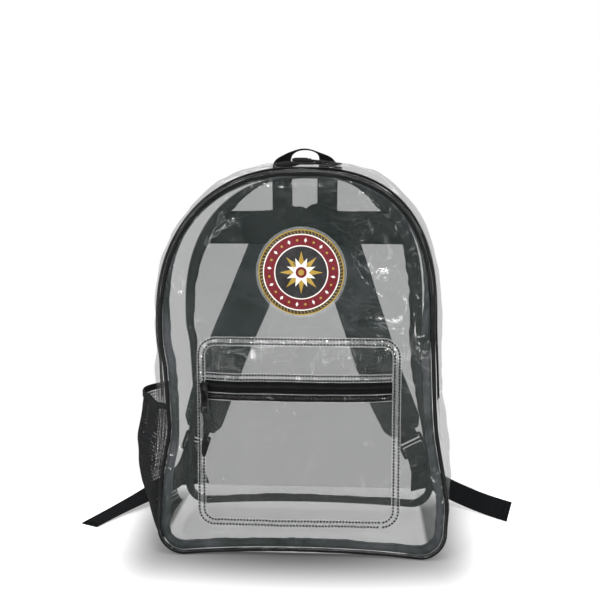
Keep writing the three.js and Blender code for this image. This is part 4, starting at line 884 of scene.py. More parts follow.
def pocket_outline(inset, count=520):
    """Places round the pocket, a distance in from its edge, with the outward direction."""
    radius = POCKET_CORNER - inset
    half_x, half_z = POCKET_WIDTH / 2 - POCKET_CORNER, POCKET_HEIGHT / 2 - POCKET_CORNER
    points, out = [], []
    for sx, sz, start in ((1, -1, -90), (1, 1, 0), (-1, 1, 90), (-1, -1, 180)):
        for angle in np.radians(np.linspace(start, start + 90, 16)):
            points.append((POCKET_SHIFT + sx * half_x + radius * math.cos(angle), POCKET_MIDDLE + sz * half_z + radius * math.sin(angle)))
            out.append((math.cos(angle), math.sin(angle)))
    points.append(points[0])
    out.append(out[0])
    both = resampled(np.concatenate([np.array(points), np.array(out)], axis=1), count + 1)
    return both[:-1, :2], both[:-1, 2:]


def pocket_border():
    start, out = pocket_outline(0)
    insets = np.linspace(0, BORDER_WIDTH, 7)
    wobble = 0.4 * np.sin(np.arange(len(start)) / 9.0)[:, None] * np.linspace(0, 1, 7)
    x = start[:, :1] - out[:, :1] * (insets + wobble)
    z = start[:, 1:] - out[:, 1:] * (insets + wobble)
    ridge = 0.3 * np.sin(np.linspace(0, 1, 7) * math.pi) + 0.14 * np.sin(np.arange(len(start)) * 2.2)[:, None]
    build = Build("pocket_edging", FILM_STRIP, THREAD, FILM_EDGE_HIGHLIGHT)
    y = pocket_y(x, z, 1.5 + ridge)
    # Thin pale strips along the border's outer and inner edges: painted highlights on the cut edges.
    for low, high in ((-0.3, 0.45), (BORDER_WIDTH - 0.3, BORDER_WIDTH + 0.4)):
        rim = np.array([low, (low + high) / 2, high])
        rim_x, rim_z = start[:, :1] - out[:, :1] * rim, start[:, 1:] - out[:, 1:] * rim
        rim_y = pocket_y(rim_x, rim_z, 1.7 + np.array([0.0, 0.35, 0.0]))
        build.grid(np.stack([rim_x, rim_y, rim_z], -1), np.stack([rim + 0 * rim_x, np.arange(len(start))[:, None] + 0 * rim_x], -1), loop_r=True, mat=2)
    build.grid(np.stack([x, y, z], -1), np.stack([insets + 0 * x, np.arange(len(start))[:, None] + 0 * x], -1), loop_r=True)
    for inset, pitch in ((1.7, 3.6), (BORDER_WIDTH - 1.9, 3.6)):
        line, facing = pocket_outline(inset, 620)
        line = np.concatenate([line, line[:1]])
        y = pocket_y(line[:, 0], line[:, 1], 2.1)
        p = np.stack([line[:, 0], y, line[:, 1]], -1)
        stitches(build, p, np.tile([0, -1.0, 0], (len(p), 1)), pitch, 0.62, 2.0, 0.6, 1)
    build.done(["pocket_border"])


pocket_border()


def pocket_zip():
    rows, columns = 9, 200
    z = np.linspace(ZIP_LOW - 8.6, ZIP_HIGH + 1.2, rows)[:, None]
    x = POCKET_SHIFT + INNER * np.linspace(-1, 1, columns)[None, :] + 0 * z
    z = z + 0 * x
    top = pocket_y(x, z, -0.9)
    front = np.stack([x, top, z], -1)
    rear = np.stack([x, top + 0.8, z], -1)
    ring = np.concatenate([front, rear[::-1]], axis=0)
    uv = np.stack([np.concatenate([z, z[::-1]]), np.concatenate([x, x[::-1]])], -1)
    build = Build("pocket_zip", TAPE, COIL, THREAD)
    build.grid(np.swapaxes(ring, 0, 1), np.swapaxes(uv, 0, 1), loop_c=True, caps=True)
    xs = np.linspace(POCKET_SHIFT - INNER + 0.5, POCKET_SHIFT + INNER - 0.5, 300)
    line = np.stack([xs, pocket_y(xs, 0 * xs + ZIP_Z, -0.6), 0 * xs + ZIP_Z], -1)
    zip_teeth(build, line, np.tile([0, 0, 1.0], (300, 1)), np.tile([0, -1.0, 0], (300, 1)), 1.9, 2.6, 1.6, 1)
    for dz, pitch in ((-5.1, 2.6), (5.1, 2.6)):
        p = np.stack([xs, pocket_y(xs, 0 * xs + ZIP_Z + dz, -0.85), 0 * xs + ZIP_Z + dz], -1)
        stitches(build, p, np.tile([0, -1.0, 0], (300, 1)), pitch, 0.6, 0.6, 0.35, 2)
    build.done(["pocket_zip_tape", "pocket_zip_coil"])
    thread = Build("pocket_stitches", THREAD, FILM_EDGE_HIGHLIGHT)
    # Thin pale strips along the edges of the zip strips: painted highlights on the cut edges.
    for z in (ZIP_HIGH, ZIP_HIGH + STRIP_WIDTH, ZIP_LOW, ZIP_LOW - STRIP_WIDTH):
        rim_z = (z + np.array([-0.35, 0.0, 0.35]))[:, None] + 0 * xs
        rim_x = xs[None, :] + 0 * rim_z
        rim_y = pocket_y(rim_x, rim_z, 1.9 + np.array([0.0, 0.3, 0.0])[:, None])
        thread.grid(np.stack([rim_x, rim_y, rim_z], -1), np.stack([rim_x, rim_z], -1), mat=1)
    for z, pitch in ((ZIP_HIGH + 1.4, 3.3), (ZIP_HIGH + STRIP_WIDTH - 1.6, 3.3), (ZIP_LOW - 1.5, 3.3), (ZIP_LOW - STRIP_WIDTH + 1.6, 3.3)):
        p = np.stack([xs, pocket_y(xs, 0 * xs + z, 2.2), 0 * xs + z], -1)
        stitches(thread, p, np.tile([0, -1.0, 0], (300, 1)), pitch, 0.64, 2.1, 0.6, 0)
    for x0, z0 in ((INNER + 3.5, ZIP_HIGH + 7.5), (INNER + 3.5, ZIP_LOW + 3.5), (INNER + 3.5, ZIP_LOW - 3.0)):
        for k in range(7):
            x, z = POCKET_SHIFT + x0 + 0.7 * k - 2.5, z0 + (0.5 if k % 2 else -0.5)
            y = float(pocket_y(np.array([x]), np.array([z]), 1.9)[0])
            p = np.array([[x - 1.4, y, z - 0.9], [x + 1.4, y, z + 0.9]])
            stitches(thread, p, np.array([[0, -1.0, 0]] * 2), 3.3, 0.95, 0.9, 0.6, 0)
    thread.done()


pocket_zip()


# Side net pocket
def net_point(t, share, off=0.0):
    """A point on the net: t down from its rim to its foot, a share across its width."""
    z = NET_TOP - t * (NET_TOP - NET_FOOT)
    at = NET_AT(z)
    x, zz, nx, nz, bulge = on_ring(at)
    front = front_y(x, zz)
    near = RIM_INSET + (BACK - front - RIM_INSET - 0.3) * share * NET_REACH
    push = bulge * profile(near / (BACK - front))
    stand = 0.9 + NET_RISE * net_stand(t) * np.sin(math.pi * np.clip(share, 0, 1)) ** 0.8
    out = push + stand + off
    return np.stack([x + nx * out, front + near, zz + 0 * out], axis=-1)


NET_REACH = 6 / 7
_net_z = np.linspace(NET_FOOT - 4, NET_TOP + 2, 60)
_net_at = np.array([ring_place("left", z) for z in _net_z])


def NET_AT(z):
    return np.interp(z, _net_z, _net_at)


def net_tube(build, path, out, radius, mat=0):
    """A cord of four sides along a path."""
    path = np.asarray(path, float)
    ahead = np.gradient(path, axis=0)
    ahead /= np.linalg.norm(ahead, axis=1)[:, None] + 1e-9
    side = np.cross(ahead, out)
    side /= np.linalg.norm(side, axis=1)[:, None] + 1e-9
    up = np.cross(side, ahead)
    ring = np.stack([path + side * radius, path + up * radius, path - side * radius, path - up * radius], axis=1)
    build.grid(ring, loop_c=True, mat=mat, caps=True)


def net_pocket():
    build = Build("net_pocket", NET)
    deep = 118.0
    tall = NET_TOP - RIM_HEIGHT - NET_FOOT
    cell = 2.7
    columns = int(deep / cell)
    rows = int(tall / cell * 1.15)
    out = np.array([-1.0, 0.0, 0.0])
    start = RIM_HEIGHT / (NET_TOP - NET_FOOT)
    for lean in (1, -1):
        for k in range(-rows, columns + rows):
            ts = np.linspace(0, 1, rows + 1)
            share = (k + lean * ts * rows * 0.62 + (0 if lean > 0 else rows * 0.0)) / columns
            keep = (share >= 0) & (share <= 1)
            if keep.sum() < 3:
                continue
            t = start + (1 - start) * ts[keep]
            wiggle = 0.15 * np.sin(np.arange(keep.sum()) * math.pi) * lean
            p = net_point(t, share[keep] + wiggle / columns, 0.12 * lean)
            net_tube(build, p, np.tile(out, (len(p), 1)), 0.45)
    for share in np.arange(0.5, columns) / columns:
        ts = np.linspace(start, 1, rows + 1)
        p = net_point(ts, np.full_like(ts, share), 0)
        net_tube(build, p, np.tile(out, (len(p), 1)), 0.42)
    build.done(["mesh_pocket"])
    rim = Build("net_rim", EDGE, THREAD)
    ts = np.linspace(-0.002, start + 0.008, 7)
    shares = np.linspace(0, 1, 90)
    grid_t, grid_s = np.meshgrid(ts, shares, indexing="xy")
    gather = 0.5 * np.sin(grid_s * 120) * (0.4 + grid_t / start)
    crown = 0.5 * np.sin(np.clip((grid_t + 0.002) / (start + 0.01), 0, 1) * math.pi)
    outer = net_point(grid_t, grid_s, 1.2 + gather * 0.6 + crown)
    inner = net_point(grid_t, grid_s, -0.4 + gather * 0.6)
    ring = np.concatenate([outer, inner[:, ::-1]], axis=1)
    run = np.broadcast_to((grid_s * deep), outer.shape[:2])
    drop = np.broadcast_to(grid_t * 148, outer.shape[:2])
    uv = np.concatenate([np.stack([run, drop], -1), np.stack([run, drop], -1)[:, ::-1]], axis=1)
    rim.grid(ring, uv, loop_c=True, caps=True)
    for t in (0.006, start - 0.008):
        p = net_point(np.full(90, t), shares, 1.7)
        stitches(rim, p, np.tile(out, (90, 1)), 2.8, 0.6, 0.7, 0.35, 1)
    hem = np.linspace(0, 1, 70)
    rim.grid(np.stack([net_point(np.full(70, t), hem, off) for t, off in ((0.985, -0.5), (0.985, 0.9), (1.0, 0.9), (1.0, -0.5))], axis=1),
             np.stack([np.broadcast_to(hem[:, None] * deep, (70, 4)), np.broadcast_to([0, 1.4, 3, 4.4], (70, 4))], -1), loop_c=True, caps=True)
    rim.done(["mesh_pocket_rim"])


net_pocket()


# Back: yoke, webbing, shoulder straps
def behind(x, z, off):
    return np.array([x, float(back_y(x, z)) + 1.3 + off, z])


def yoke():
    rows, columns = 26, 150
    v = np.linspace(0, 1, rows)[:, None]
    z = YOKE_FOOT + YOKE_HEIGHT * v
    u = np.linspace(0, 1, columns)[None, :]
    left = np.array([[seam_x("left", float(h)) + YOKE_INSET] for h in z[:, 0]])
    right = np.array([[seam_x("right", float(h)) - YOKE_INSET] for h in z[:, 0]])
    x = left + (right - left) * u
    gather = np.exp(-((x - 2) / 34) ** 2) * (0.35 + 0.65 * v)
    folds = gather * 1.5 * np.sin(x / 2.1 + 0.9 * np.sin(z / 5))
    billow = 1.2 * np.sin(u * math.pi) * np.sin(v * math.pi)
    p2 = np.stack([x, 0 * x, z + 0 * x], -1)
    crumple = 0.45 * field(p2, 30, 61) + 0.25 * field(p2, 12, 62)
    hem = np.minimum(1, np.minimum(v, 1 - v) * 9)
    y = back_y(x, z) + 1.5
    outer = y + 2.0 + hem * (billow + crumple * 0.8 + np.abs(folds))
    inner = y + hem * crumple * 0.1
    ruffle = np.exp(-((x + 8) / 40) ** 4) * (0.55 + 0.45 * field(p2 * (1, 0, 0), 16, 63) + 0.2 * field(p2 * (1, 0, 0), 6, 64))
    zz = z + 7.5 * ruffle * rise_between(v, 0.62, 1.0)
    far = np.stack([x, outer, zz + 0 * x], -1)
    near = np.stack([x, inner, zz + 0 * x], -1)
    build = Build("yoke_cloth", YOKE_CLOTH, THREAD, EDGE)
    ring = np.concatenate([far, near[::-1]], axis=0)
    uv = np.concatenate([np.stack([x, z + 0 * x], -1), np.stack([x, z + 0 * x], -1)[::-1]], axis=0)
    build.grid(np.swapaxes(ring, 0, 1), np.swapaxes(uv, 0, 1), loop_c=True, caps=True)
    for row, width in ((1, 0), (rows - 2, 0), (4, 0), (rows - 5, 0)):
        stitches(build, far[row] + [0, 0.05, 0], np.tile([0, 1.0, 0], (columns, 1)), 3.2, 0.62, 0.7, 0.4, 1)
        stitches(build, near[row] - [0, 0.05, 0], np.tile([0, -1.0, 0], (columns, 1)), 3.2, 0.62, 0.7, 0.4, 1)
    build.done(["yoke"])


yoke()


def haul_loop():
    leg, off = LOOP_SPREAD / 2, WEBBING_THICK / 2
    foot = YOKE_FOOT + YOKE_HEIGHT + 0.3
    rise = LOOP_TOP - off - HEIGHT
    y = BACK + 1.7 + off
    half = [
        (behind(-leg, foot - 16, off + 3.4), (1, 0, 0)),
        (behind(-leg, foot, off + 2.2), (1, 0, 0)),
        (behind(-leg, (foot + HEIGHT) / 2, 0.6 + off), (1, 0, 0)),
        ((-leg, y + 0.3, HEIGHT + rise * 0.12), (1, 0, 0)),
        ((-leg * 0.94, y + 1, HEIGHT + rise * 0.46), (0.8, 0.6, 0.1)),
        ((-leg * 0.68, y, HEIGHT + rise * 0.79), (0.25, 0.96, 0)),
        ((-leg * 0.34, y - 1, HEIGHT + rise * 0.95), (0, 1, 0)),
    ]
    mirrored = [(np.array(p) * (-1, 1, 1), np.array(a) * (-1, 1, -1)) for p, a in half][::-1]
    route = half + [((0, y - 1, HEIGHT + rise), (0, 1, 0))] + mirrored
    build = Build("haul_loop_webbing", WEB, THREAD)
    strap(build, route, WEBBING, WEBBING_THICK, section("flat", 24, 0.25), 160)
    for x in (-leg, leg):
        for dx in (-9.5, 9.5):
            p = np.array([behind(x + dx, foot - 14 + k, off + 4.3) for k in range(0, 14)])
            stitches(build, p, np.tile([0, 1.0, 0], (len(p), 1)), 2.6, 0.65, 0.8, 0.45, 1)
        for a, b in ((-14, 0), (0, -14)):
            p = np.array([behind(x - 9.5 + 19 * t, foot + a + (b - a) * t, off + 4.3) for t in np.linspace(0, 1, 12)])
            stitches(build, p, np.tile([0, 1.0, 0], (len(p), 1)), 2.6, 0.65, 0.8, 0.45, 1)
    build.done(["haul_loop"])


haul_loop()


def strap_rows(side):
    sign = 1 if side == "right" else -1
    column = 2 if side == "right" else 1
    clear = 2.3 + STRAP_THICK / 2
    places = [behind(sign * row[column] * HALF_WIDTH, row[0] * HEIGHT, clear + row[3] * DEPTH) for row in STRAPS]
    rows = []
    for k, at in enumerate(places):
        t = k / (len(places) - 1)
        ahead = catmull(places, min(1, t + 1e-4)) - catmull(places, max(0, t - 1e-4))
        ahead /= np.linalg.norm(ahead)
        across = np.array([-ahead[2], 0, ahead[0]])
        rows.append((at, across / np.linalg.norm(across), STRAPS[k][4], ahead))
    return rows


def shoulder_strap(side):
    """A padded strap: foam between two cloths, drawn in at the stitched edging."""
    rows = strap_rows(side)
    p, across, normal, wide, run = rails([row[:3] for row in rows], 130)
    half = STRAP_WIDTH / 2 * wide
    w = np.linspace(-1, 1, 41)
    rounded = np.clip((1 - np.abs(w)) / 0.34, 0, 1)
    crown = 0.2 + 0.8 * np.sin(rounded * math.pi / 2) ** 0.75
    ends = np.clip(np.minimum(run, run[-1] - run) / 16, 0, 1)[:, None]
    place = p[:, None, :] + across[:, None, :] * (w[None, :, None] * half[:, None, None])
    wrinkle = 0.35 * field(place, 34, 71) + 0.3 * ridged(place, 42, 72, 4, stretch=(0.4, 1, 1.6))
    thick = STRAP_THICK / 2 * (0.25 + 0.75 * ends * crown[None, :]) + wrinkle * ends * crown[None, :]
    pucker = 0.22 * np.sin(run[:, None] * 2 * math.pi / 6.5) * np.exp(-((np.abs(w[None, :]) - 0.8) / 0.1) ** 2)
    top = place + normal[:, None, :] * (thick + pucker)[:, :, None]
    low = place - normal[:, None, :] * (thick + pucker)[:, :, None]
    u = np.broadcast_to(w[None, :] * half[:, None], thick.shape)
    v = np.broadcast_to(run[:, None], thick.shape)
    uv = np.stack([u, v], -1)
    build = Build(f"padded_strap_{side}", CLOTH, EDGE, THREAD)
    build.grid(np.concatenate([top, low[:, ::-1]], axis=1), np.concatenate([uv, uv[:, ::-1]], axis=1), loop_c=True, caps=True)
    for sign in (1, -1):
        angles = np.linspace(0, 2 * math.pi, 10, endpoint=False)
        reach = half * 0.965
        c = p + across * (sign * reach)[:, None]
        ring = c[:, None, :] + across[:, None, :] * (sign * 4.6 * np.cos(angles) - sign * 3.2)[None, :, None]
        ring = ring + normal[:, None, :] * (2.5 * np.sin(angles))[None, :, None]
        build.grid(ring, np.stack([np.broadcast_to(angles * 4, ring.shape[:2]), np.broadcast_to(run[:, None], ring.shape[:2])], -1), loop_c=True, mat=1, caps=True)
        for face in (1, -1):
            line = c - across * (sign * 6.2) + normal * (face * 2.6)
            stitches(build, line, normal * face, 3.4, 0.62, 0.8, 0.45, 2)
    obj = build.done([f"shoulder_strap_{side}"])
    return rows


def lock_and_webbing(side, rows):
    end, end_across, _, ahead = rows[-1]
    normal = np.cross(end_across, ahead)
    normal /= np.linalg.norm(normal)
    outwards = 1 if normal[1] > 0 else -1

    def at(along, off):
        return end + ahead * along + normal * off * outwards

    bar = LOCK_START + LOCK_BAR
    length = 4 * LOCK_BAR + 3 * LOCK_SLOT
    ply = LOCK_THICK / 2 + WEBBING_THICK / 2 + 0.4
    turn = bar + WEBBING_THICK / 2 + 0.8
    loop = [(at(a, o), end_across) for a, o in ((-14, ply + 2.2), (-5, ply + 1.6), (0.3, ply + 0.2), (bar - LOCK_BAR, ply + 0.3), (bar, ply + 0.3), (turn, 0),
            (bar, -ply - 0.3), (bar - LOCK_BAR, -ply - 0.3), (0.3, -ply - 0.2), (-5, -ply - 1.6), (-14, -ply - 2.2))]
    build = Build(f"lock_loop_webbing_{side}", WEB, THREAD)
    strap(build, loop, WEBBING, WEBBING_THICK, section("flat", 24, 0.25), 60)
    for face in (1, -1):
        for along in (-11.5, -8.0):
            line = np.array([at(along, face * (ply + 2.9)) + end_across * w for w in np.linspace(-10.5, 10.5, 12)])
            stitches(build, line, np.tile(normal * outwards * face, (12, 1)), 2.6, 0.65, 0.8, 0.45, 1)
    build.done([f"lock_loop_{side}"])

    # Ladder lock: four rounded bars between two side rails
    lock = Build(f"ladder_lock_moulding_{side}", MOULD)
    third = np.cross(end_across, ahead)
    slot_half = WEBBING / 2 + 0.7
    for k in range(4):
        mid = LOCK_START + LOCK_BAR / 2 + k * (LOCK_BAR + LOCK_SLOT)
        angles = np.linspace(0, 2 * math.pi, 14, endpoint=False)
        ws = np.linspace(-slot_half - 2, slot_half + 2, 14)
        bow = 0.5 * (1 - (ws / slot_half) ** 2) * (1 if k in (1, 2) else 0.3)
        c = end + ahead * mid + end_across * ws[:, None] + third * bow[:, None] * 0.6
        ring = c[:, None, :] + ahead * (LOCK_BAR / 2 * np.sign(np.cos(angles)) * np.abs(np.cos(angles)) ** 0.6)[None, :, None]
        ring = ring + third * (LOCK_THICK / 2 * np.sign(np.sin(angles)) * np.abs(np.sin(angles)) ** 0.6)[None, :, None]
        lock.grid(ring, loop_c=True, caps=True)
    for sign in (1, -1):
        angles = np.linspace(0, 2 * math.pi, 16, endpoint=False)
        ts = np.linspace(0, 1, 16)
        full = np.minimum(1, np.sqrt(np.clip(np.minimum(ts, 1 - ts) * 9 + 0.12, 0, 1)))
        c = end + ahead * (LOCK_START + length * ts)[:, None] + end_across * sign * (slot_half + 2.0)
        ring = c[:, None, :] + end_across * ((2.0 * full)[:, None] * np.cos(angles))[:, :, None] + third * ((1.65 * full)[:, None] * np.sin(angles))[:, :, None]
        lock.grid(ring, loop_c=True, caps=True)
    lock.done([f"ladder_lock_{side}"])

    sign = 1 if side == "right" else -1
    corner = RING_CORNER[side]
    base = corner[:2] - corner[2:] * ANCHOR_INSET
    lock_end = at(LOCK_START + length, 0)
    lean = np.array([lock_end[0] - base[0], lock_end[2] - base[1]])
    lean /= np.linalg.norm(lean)

    def anchor_place(far, wide, off):
        return behind(base[0] + lean[0] * far + lean[1] * wide, base[1] + lean[1] * far - lean[0] * wide, 0.4 + off)

    tab = Build(f"anchor_patch_{side}", WEB, THREAD)
    far = np.linspace(-4, ANCHOR_LENGTH, 14)
    half = np.interp(far, [-4, ANCHOR_LENGTH], [ANCHOR_WIDE / 2 + 1, WEBBING / 2])
    shares = np.linspace(-1, 1, 13)
    top = np.array([[anchor_place(f, h * s, 2.0 + 0.3 * (1 - s * s)) for s in shares] for f, h in zip(far, half)])
    low = np.array([[anchor_place(f, h * s, 0.2) for s in shares] for f, h in zip(far, half)])
    uv = np.stack([np.broadcast_to(half[:, None] * shares, (14, 13)), np.broadcast_to(far[:, None], (14, 13))], -1)
    tab.grid(np.concatenate([top, low[:, ::-1]], axis=1), np.concatenate([uv, uv[:, ::-1]], axis=1), loop_c=True, caps=True)
    for share in (-0.82, 0.82):
        line = np.array([anchor_place(f, h * share, 2.4) for f, h in zip(far, half)])
        stitches(tab, line, np.tile([0, 1.0, 0], (len(line), 1)), 2.6, 0.65, 0.8, 0.45, 1)
    for f in (2.0, 6.0, ANCHOR_LENGTH - 2):
        line = np.array([anchor_place(f, np.interp(f, far, half) * s * 0.8, 2.4) for s in shares])
        stitches(tab, line, np.tile([0, 1.0, 0], (len(line), 1)), 2.6, 0.65, 0.8, 0.45, 1)
    tab.done([f"anchor_tab_{side}"])

    rows_at = [LOCK_BAR + k * (LOCK_BAR + LOCK_SLOT) + LOCK_SLOT / 2 for k in range(3)]
    first, second = LOCK_START + rows_at[1], LOCK_START + rows_at[2]
    over, under = ply + 0.3, -ply - 0.3
    below = under - WEBBING_THICK - 0.8
    level = WEBBING_THICK / 2
    across = np.array([lean[1], 0, -lean[0]])
    if np.dot(across, end_across) < 0:
        across = -across
    fixed = [
        (anchor_place(ANCHOR_LENGTH - 9, 0, 3.3), across),
        (anchor_place(ANCHOR_LENGTH + 0.9, 0, 2.9), across),
        (anchor_place(ANCHOR_LENGTH + 5, 0, 2.9), across),
        (at(LOCK_START + length, below - level / 2), end_across),
        (at(second, below), end_across),
        (at(first + LOCK_SLOT / 2, under - level), end_across),
        (at(first, -level), end_across),
        (at(first + level, over - level / 2), end_across),
        (at((first + second) / 2, over), end_across),
        (at(second - level, over - level / 2), end_across),
        (at(second, -level), end_across),
        (at(second + LOCK_SLOT / 2 + 0.6, under), end_across),
        (at(LOCK_START + length + 1, under), end_across),
    ]
    sideways = 1 if end_across[0] > 0 else -1
    free = [(np.array([r[0] * HALF_WIDTH, r[1] * DEPTH, r[2] * HEIGHT]), np.array(r[3:6]) * sideways) for r in FREE_ENDS[side]]
    build = Build(f"webbing_{side}", WEB, THREAD)
    q, a, n, wide, run = strap(build, fixed + free, WEBBING, WEBBING_THICK, section("flat", 24, 0.25), 300)
    for back in (3.0, 8.0):
        k = int(np.searchsorted(run, run[-1] - back))
        for face in (1, -1):
            line = np.array([q[k] + a[k] * w + n[k] * face * (WEBBING_THICK / 2 + 0.1) for w in np.linspace(-10.5, 10.5, 12)])
            stitches(build, line, np.tile(n[k] * face, (12, 1)), 2.6, 0.65, 0.8, 0.4, 1)
    build.done([f"strap_webbing_{side}"])


def corner_of(side):
    """The ring's point where the bottom corner turns into the side."""
    x, z, nx, nz, _ = on_ring(ring_place(side, SEAM_FLOOR + CORNER))
    return np.array([float(x), float(z), float(nx), float(nz)])


RING_CORNER = {side: corner_of(side) for side in ("left", "right")}
for strap_side in ("left", "right"):
    lock_and_webbing(strap_side, shoulder_strap(strap_side))


# Badge: rings and a star, laid on the front film
def ring_patch(build, inner, outer, off, mat, turns=96, rows=3):
    radii = np.linspace(inner, outer, rows)
    angles = np.linspace(0, 2 * math.pi, turns, endpoint=False)
    x = BADGE_SHIFT + radii[None, :] * np.cos(angles)[:, None]
    z = BADGE_HEIGHT + radii[None, :] * np.sin(angles)[:, None]
    build.grid(np.stack([x, face_y(x, z) - off, z], -1), np.stack([x, z], -1), loop_r=True, mat=mat)


def shape_patch(build, outline, off, mat):
    """A flat motif fanned from its middle over the badge's surface."""
    outline = np.asarray(outline, float)
    centre = outline.mean(axis=0)
    points = np.concatenate([[centre], (outline + centre) / 2, outline])
    x, z = BADGE_SHIFT + points[:, 0], BADGE_HEIGHT + points[:, 1]
    n = len(outline)
    faces = []
    for k in range(n):
        j = (k + 1) % n
        faces += [(0, 1 + k, 1 + j), (1 + k, 1 + n + k, 1 + n + j, 1 + j)]
    build.add(np.stack([x, face_y(x, z) - off, z], -1), faces, np.stack([x, z], -1), mat)


def badge():
    build = Build("badge_print", INK, MAROON, GOLD, CHALK, FILM_STRIP)
    r = BADGE_RADIUS
    ring_patch(build, 0.0, r * 0.985, 1.0, 0, rows=16)
    ring_patch(build, r * 0.985, r * 1.06, 0.8, 4)
    ring_patch(build, r * 0.975, r, 1.1, 2)
    ring_patch(build, r * 0.87, r * 0.895, 1.15, 3)
    ring_patch(build, r * 0.63, r * 0.87, 1.12, 1, rows=5)
    ring_patch(build, r * 0.605, r * 0.63, 1.15, 3)
    for k in range(72):
        a = 2 * math.pi * k / 72
        d, s = np.array([math.cos(a), math.sin(a)]), np.array([-math.sin(a), math.cos(a)])
        shape_patch(build, [d * r * 0.905 - s * 1.2, d * r * 0.905 - s * 0.3, d * r * 0.965 + s * 1.1, d * r * 0.965 + s * 0.2], 1.25, 2)
    for k in range(24):
        a = 2 * math.pi * (k + 0.5) / 24
        c = np.array([math.cos(a), math.sin(a)]) * r * 0.75
        d, s = c / np.linalg.norm(c), np.array([-c[1], c[0]]) / np.linalg.norm(c)
        if k % 2:
            shape_patch(build, [c + d * 2.6, c + s * 1.5, c - d * 2.6, c - s * 1.5], 1.25, 3)
        else:
            angles = np.linspace(0, 2 * math.pi, 10, endpoint=False)
            shape_patch(build, [c + 1.35 * np.array([math.cos(b), math.sin(b)]) for b in angles], 1.25, 2)
    for count, far, near, turn, mat, off in ((8, 0.5, 0.2, 0.0, 2, 1.2), (8, 0.36, 0.17, math.pi / 8, 3, 1.35)):
        star = []
        for k in range(count * 2):
            a = turn + math.pi * k / count + math.pi / 2
            star.append(np.array([math.cos(a), math.sin(a)]) * r * (far if k % 2 == 0 else near))
        shape_patch(build, star, off, mat)
    angles = np.linspace(0, 2 * math.pi, 28, endpoint=False)
    shape_patch(build, [r * 0.13 * np.array([math.cos(b), math.sin(b)]) for b in angles], 1.5, 1)
    shape_patch(build, [r * 0.07 * np.array([math.cos(b), math.sin(b)]) for b in angles], 1.65, 2)
    build.done(["badge"])


badge()


# Zip pulls: slider, tab, twisted cord and moulded end
def slab(build, outline, thick, place, mat=0, round_by=0.35):
    """A flat shape with softened edges, put in place by a function of its own x, y and height."""
    outline = np.asarray(outline, float)
    centre = outline.mean(axis=0)
    levels = ((0.0, round_by), (round_by, 0.0), (thick - round_by, 0.0), (thick, round_by))
    rows = []
    for height, shrink in levels:
        d = outline - centre
        size = np.linalg.norm(d, axis=1, keepdims=True)
        flat = centre + d * (1 - shrink / np.maximum(size, 1e-6))
        rows.append(np.array([place(x, y, height) for x, y in flat]))
    build.grid(np.array(rows), loop_c=True, mat=mat, caps=True)


def slider_and_tab(build, place):
    half, wide = 5.5, 4.25
    body = [(-half, -wide * 0.6), (-half * 0.85, -wide * 0.75), (-half * 0.4, -wide), (half * 0.9, -wide * 0.85), (half, -wide * 0.7),
            (half, wide * 0.7), (half * 0.9, wide * 0.85), (-half * 0.4, wide), (-half * 0.85, wide * 0.75), (-half, wide * 0.6)]
    slab(build, body, 1.3, place)
    slab(build, [(x * 0.93, y * 0.86) for x, y in body], 2.0, lambda x, y, h: place(x, y, h + 1.5))
    ts = np.linspace(0, math.pi, 12)
    bridge = np.array([[place(3.6 * math.cos(t), w, 3.0 + 2.6 * math.sin(t) * k) for w, k in ((-1.0, 1), (1.0, 1), (1.0, 0.62), (-1.0, 0.62))] for t in ts])
    build.grid(bridge, loop_c=True, caps=True)


def hung_tab(build, place, length=TAB_LENGTH, width=TAB_WIDTH):
    """A pull tab with an eye at each end: two side bars, cross bars and a waist."""
    half = width / 2
    top, foot = width * 0.42, width * 0.42 - length
    for sign in (1, -1):
        outline = [(sign * half * a, y) for a, y in ((0.42, top), (0.8, top - 0.8), (0.84, top - 9), (0.8, foot + 12), (0.95, foot + 4), (0.88, foot + 0.9), (0.6, foot),
                                                     (0.52, foot + 2), (0.5, foot + 12), (0.3, top - 9), (0.36, top - 3))]
        slab(build, outline if sign > 0 else outline[::-1], 1.6, place)
    for low, high in ((top - 1.9, top), (foot, foot + 2.0), (foot + 7.0, top - 8.0)):
        slab(build, [(-half * 0.62, low), (half * 0.62, low), (half * 0.62, high), (-half * 0.62, high)], 1.5, place)


def twisted(build, path, radius, mat=0, turns_per_mm=0.16):
    """A cord of three strands."""
    path = np.asarray(path, float)
    steps = max(24, int(np.linalg.norm(np.diff(path, axis=0), axis=1).sum() * 1.6))
    fine = resampled(path, steps)
    ahead = np.gradient(fine, axis=0)
    ahead /= np.linalg.norm(ahead, axis=1)[:, None] + 1e-9
    ref = np.array([0.3, 0.5, 0.81])
    side = np.cross(ahead, ref)
    side /= np.linalg.norm(side, axis=1)[:, None] + 1e-9
    up = np.cross(side, ahead)
    run = np.concatenate([[0], np.cumsum(np.linalg.norm(np.diff(fine, axis=0), axis=1))])
    angles = np.linspace(0, 2 * math.pi, 7, endpoint=False)
    for k in range(3):
        phase = 2 * math.pi * (k / 3 + run * turns_per_mm)
        c = fine + (side * np.cos(phase)[:, None] + up * np.sin(phase)[:, None]) * radius * 0.5
        ring = c[:, None, :] + (side[:, None, :] * np.cos(angles)[None, :, None] + up[:, None, :] * np.sin(angles)[None, :, None]) * radius * 0.58
        build.grid(ring, np.stack([np.broadcast_to(angles * 0.6, ring.shape[:2]), np.broadcast_to(run[:, None], ring.shape[:2])], -1), loop_c=True, mat=mat, caps=True)


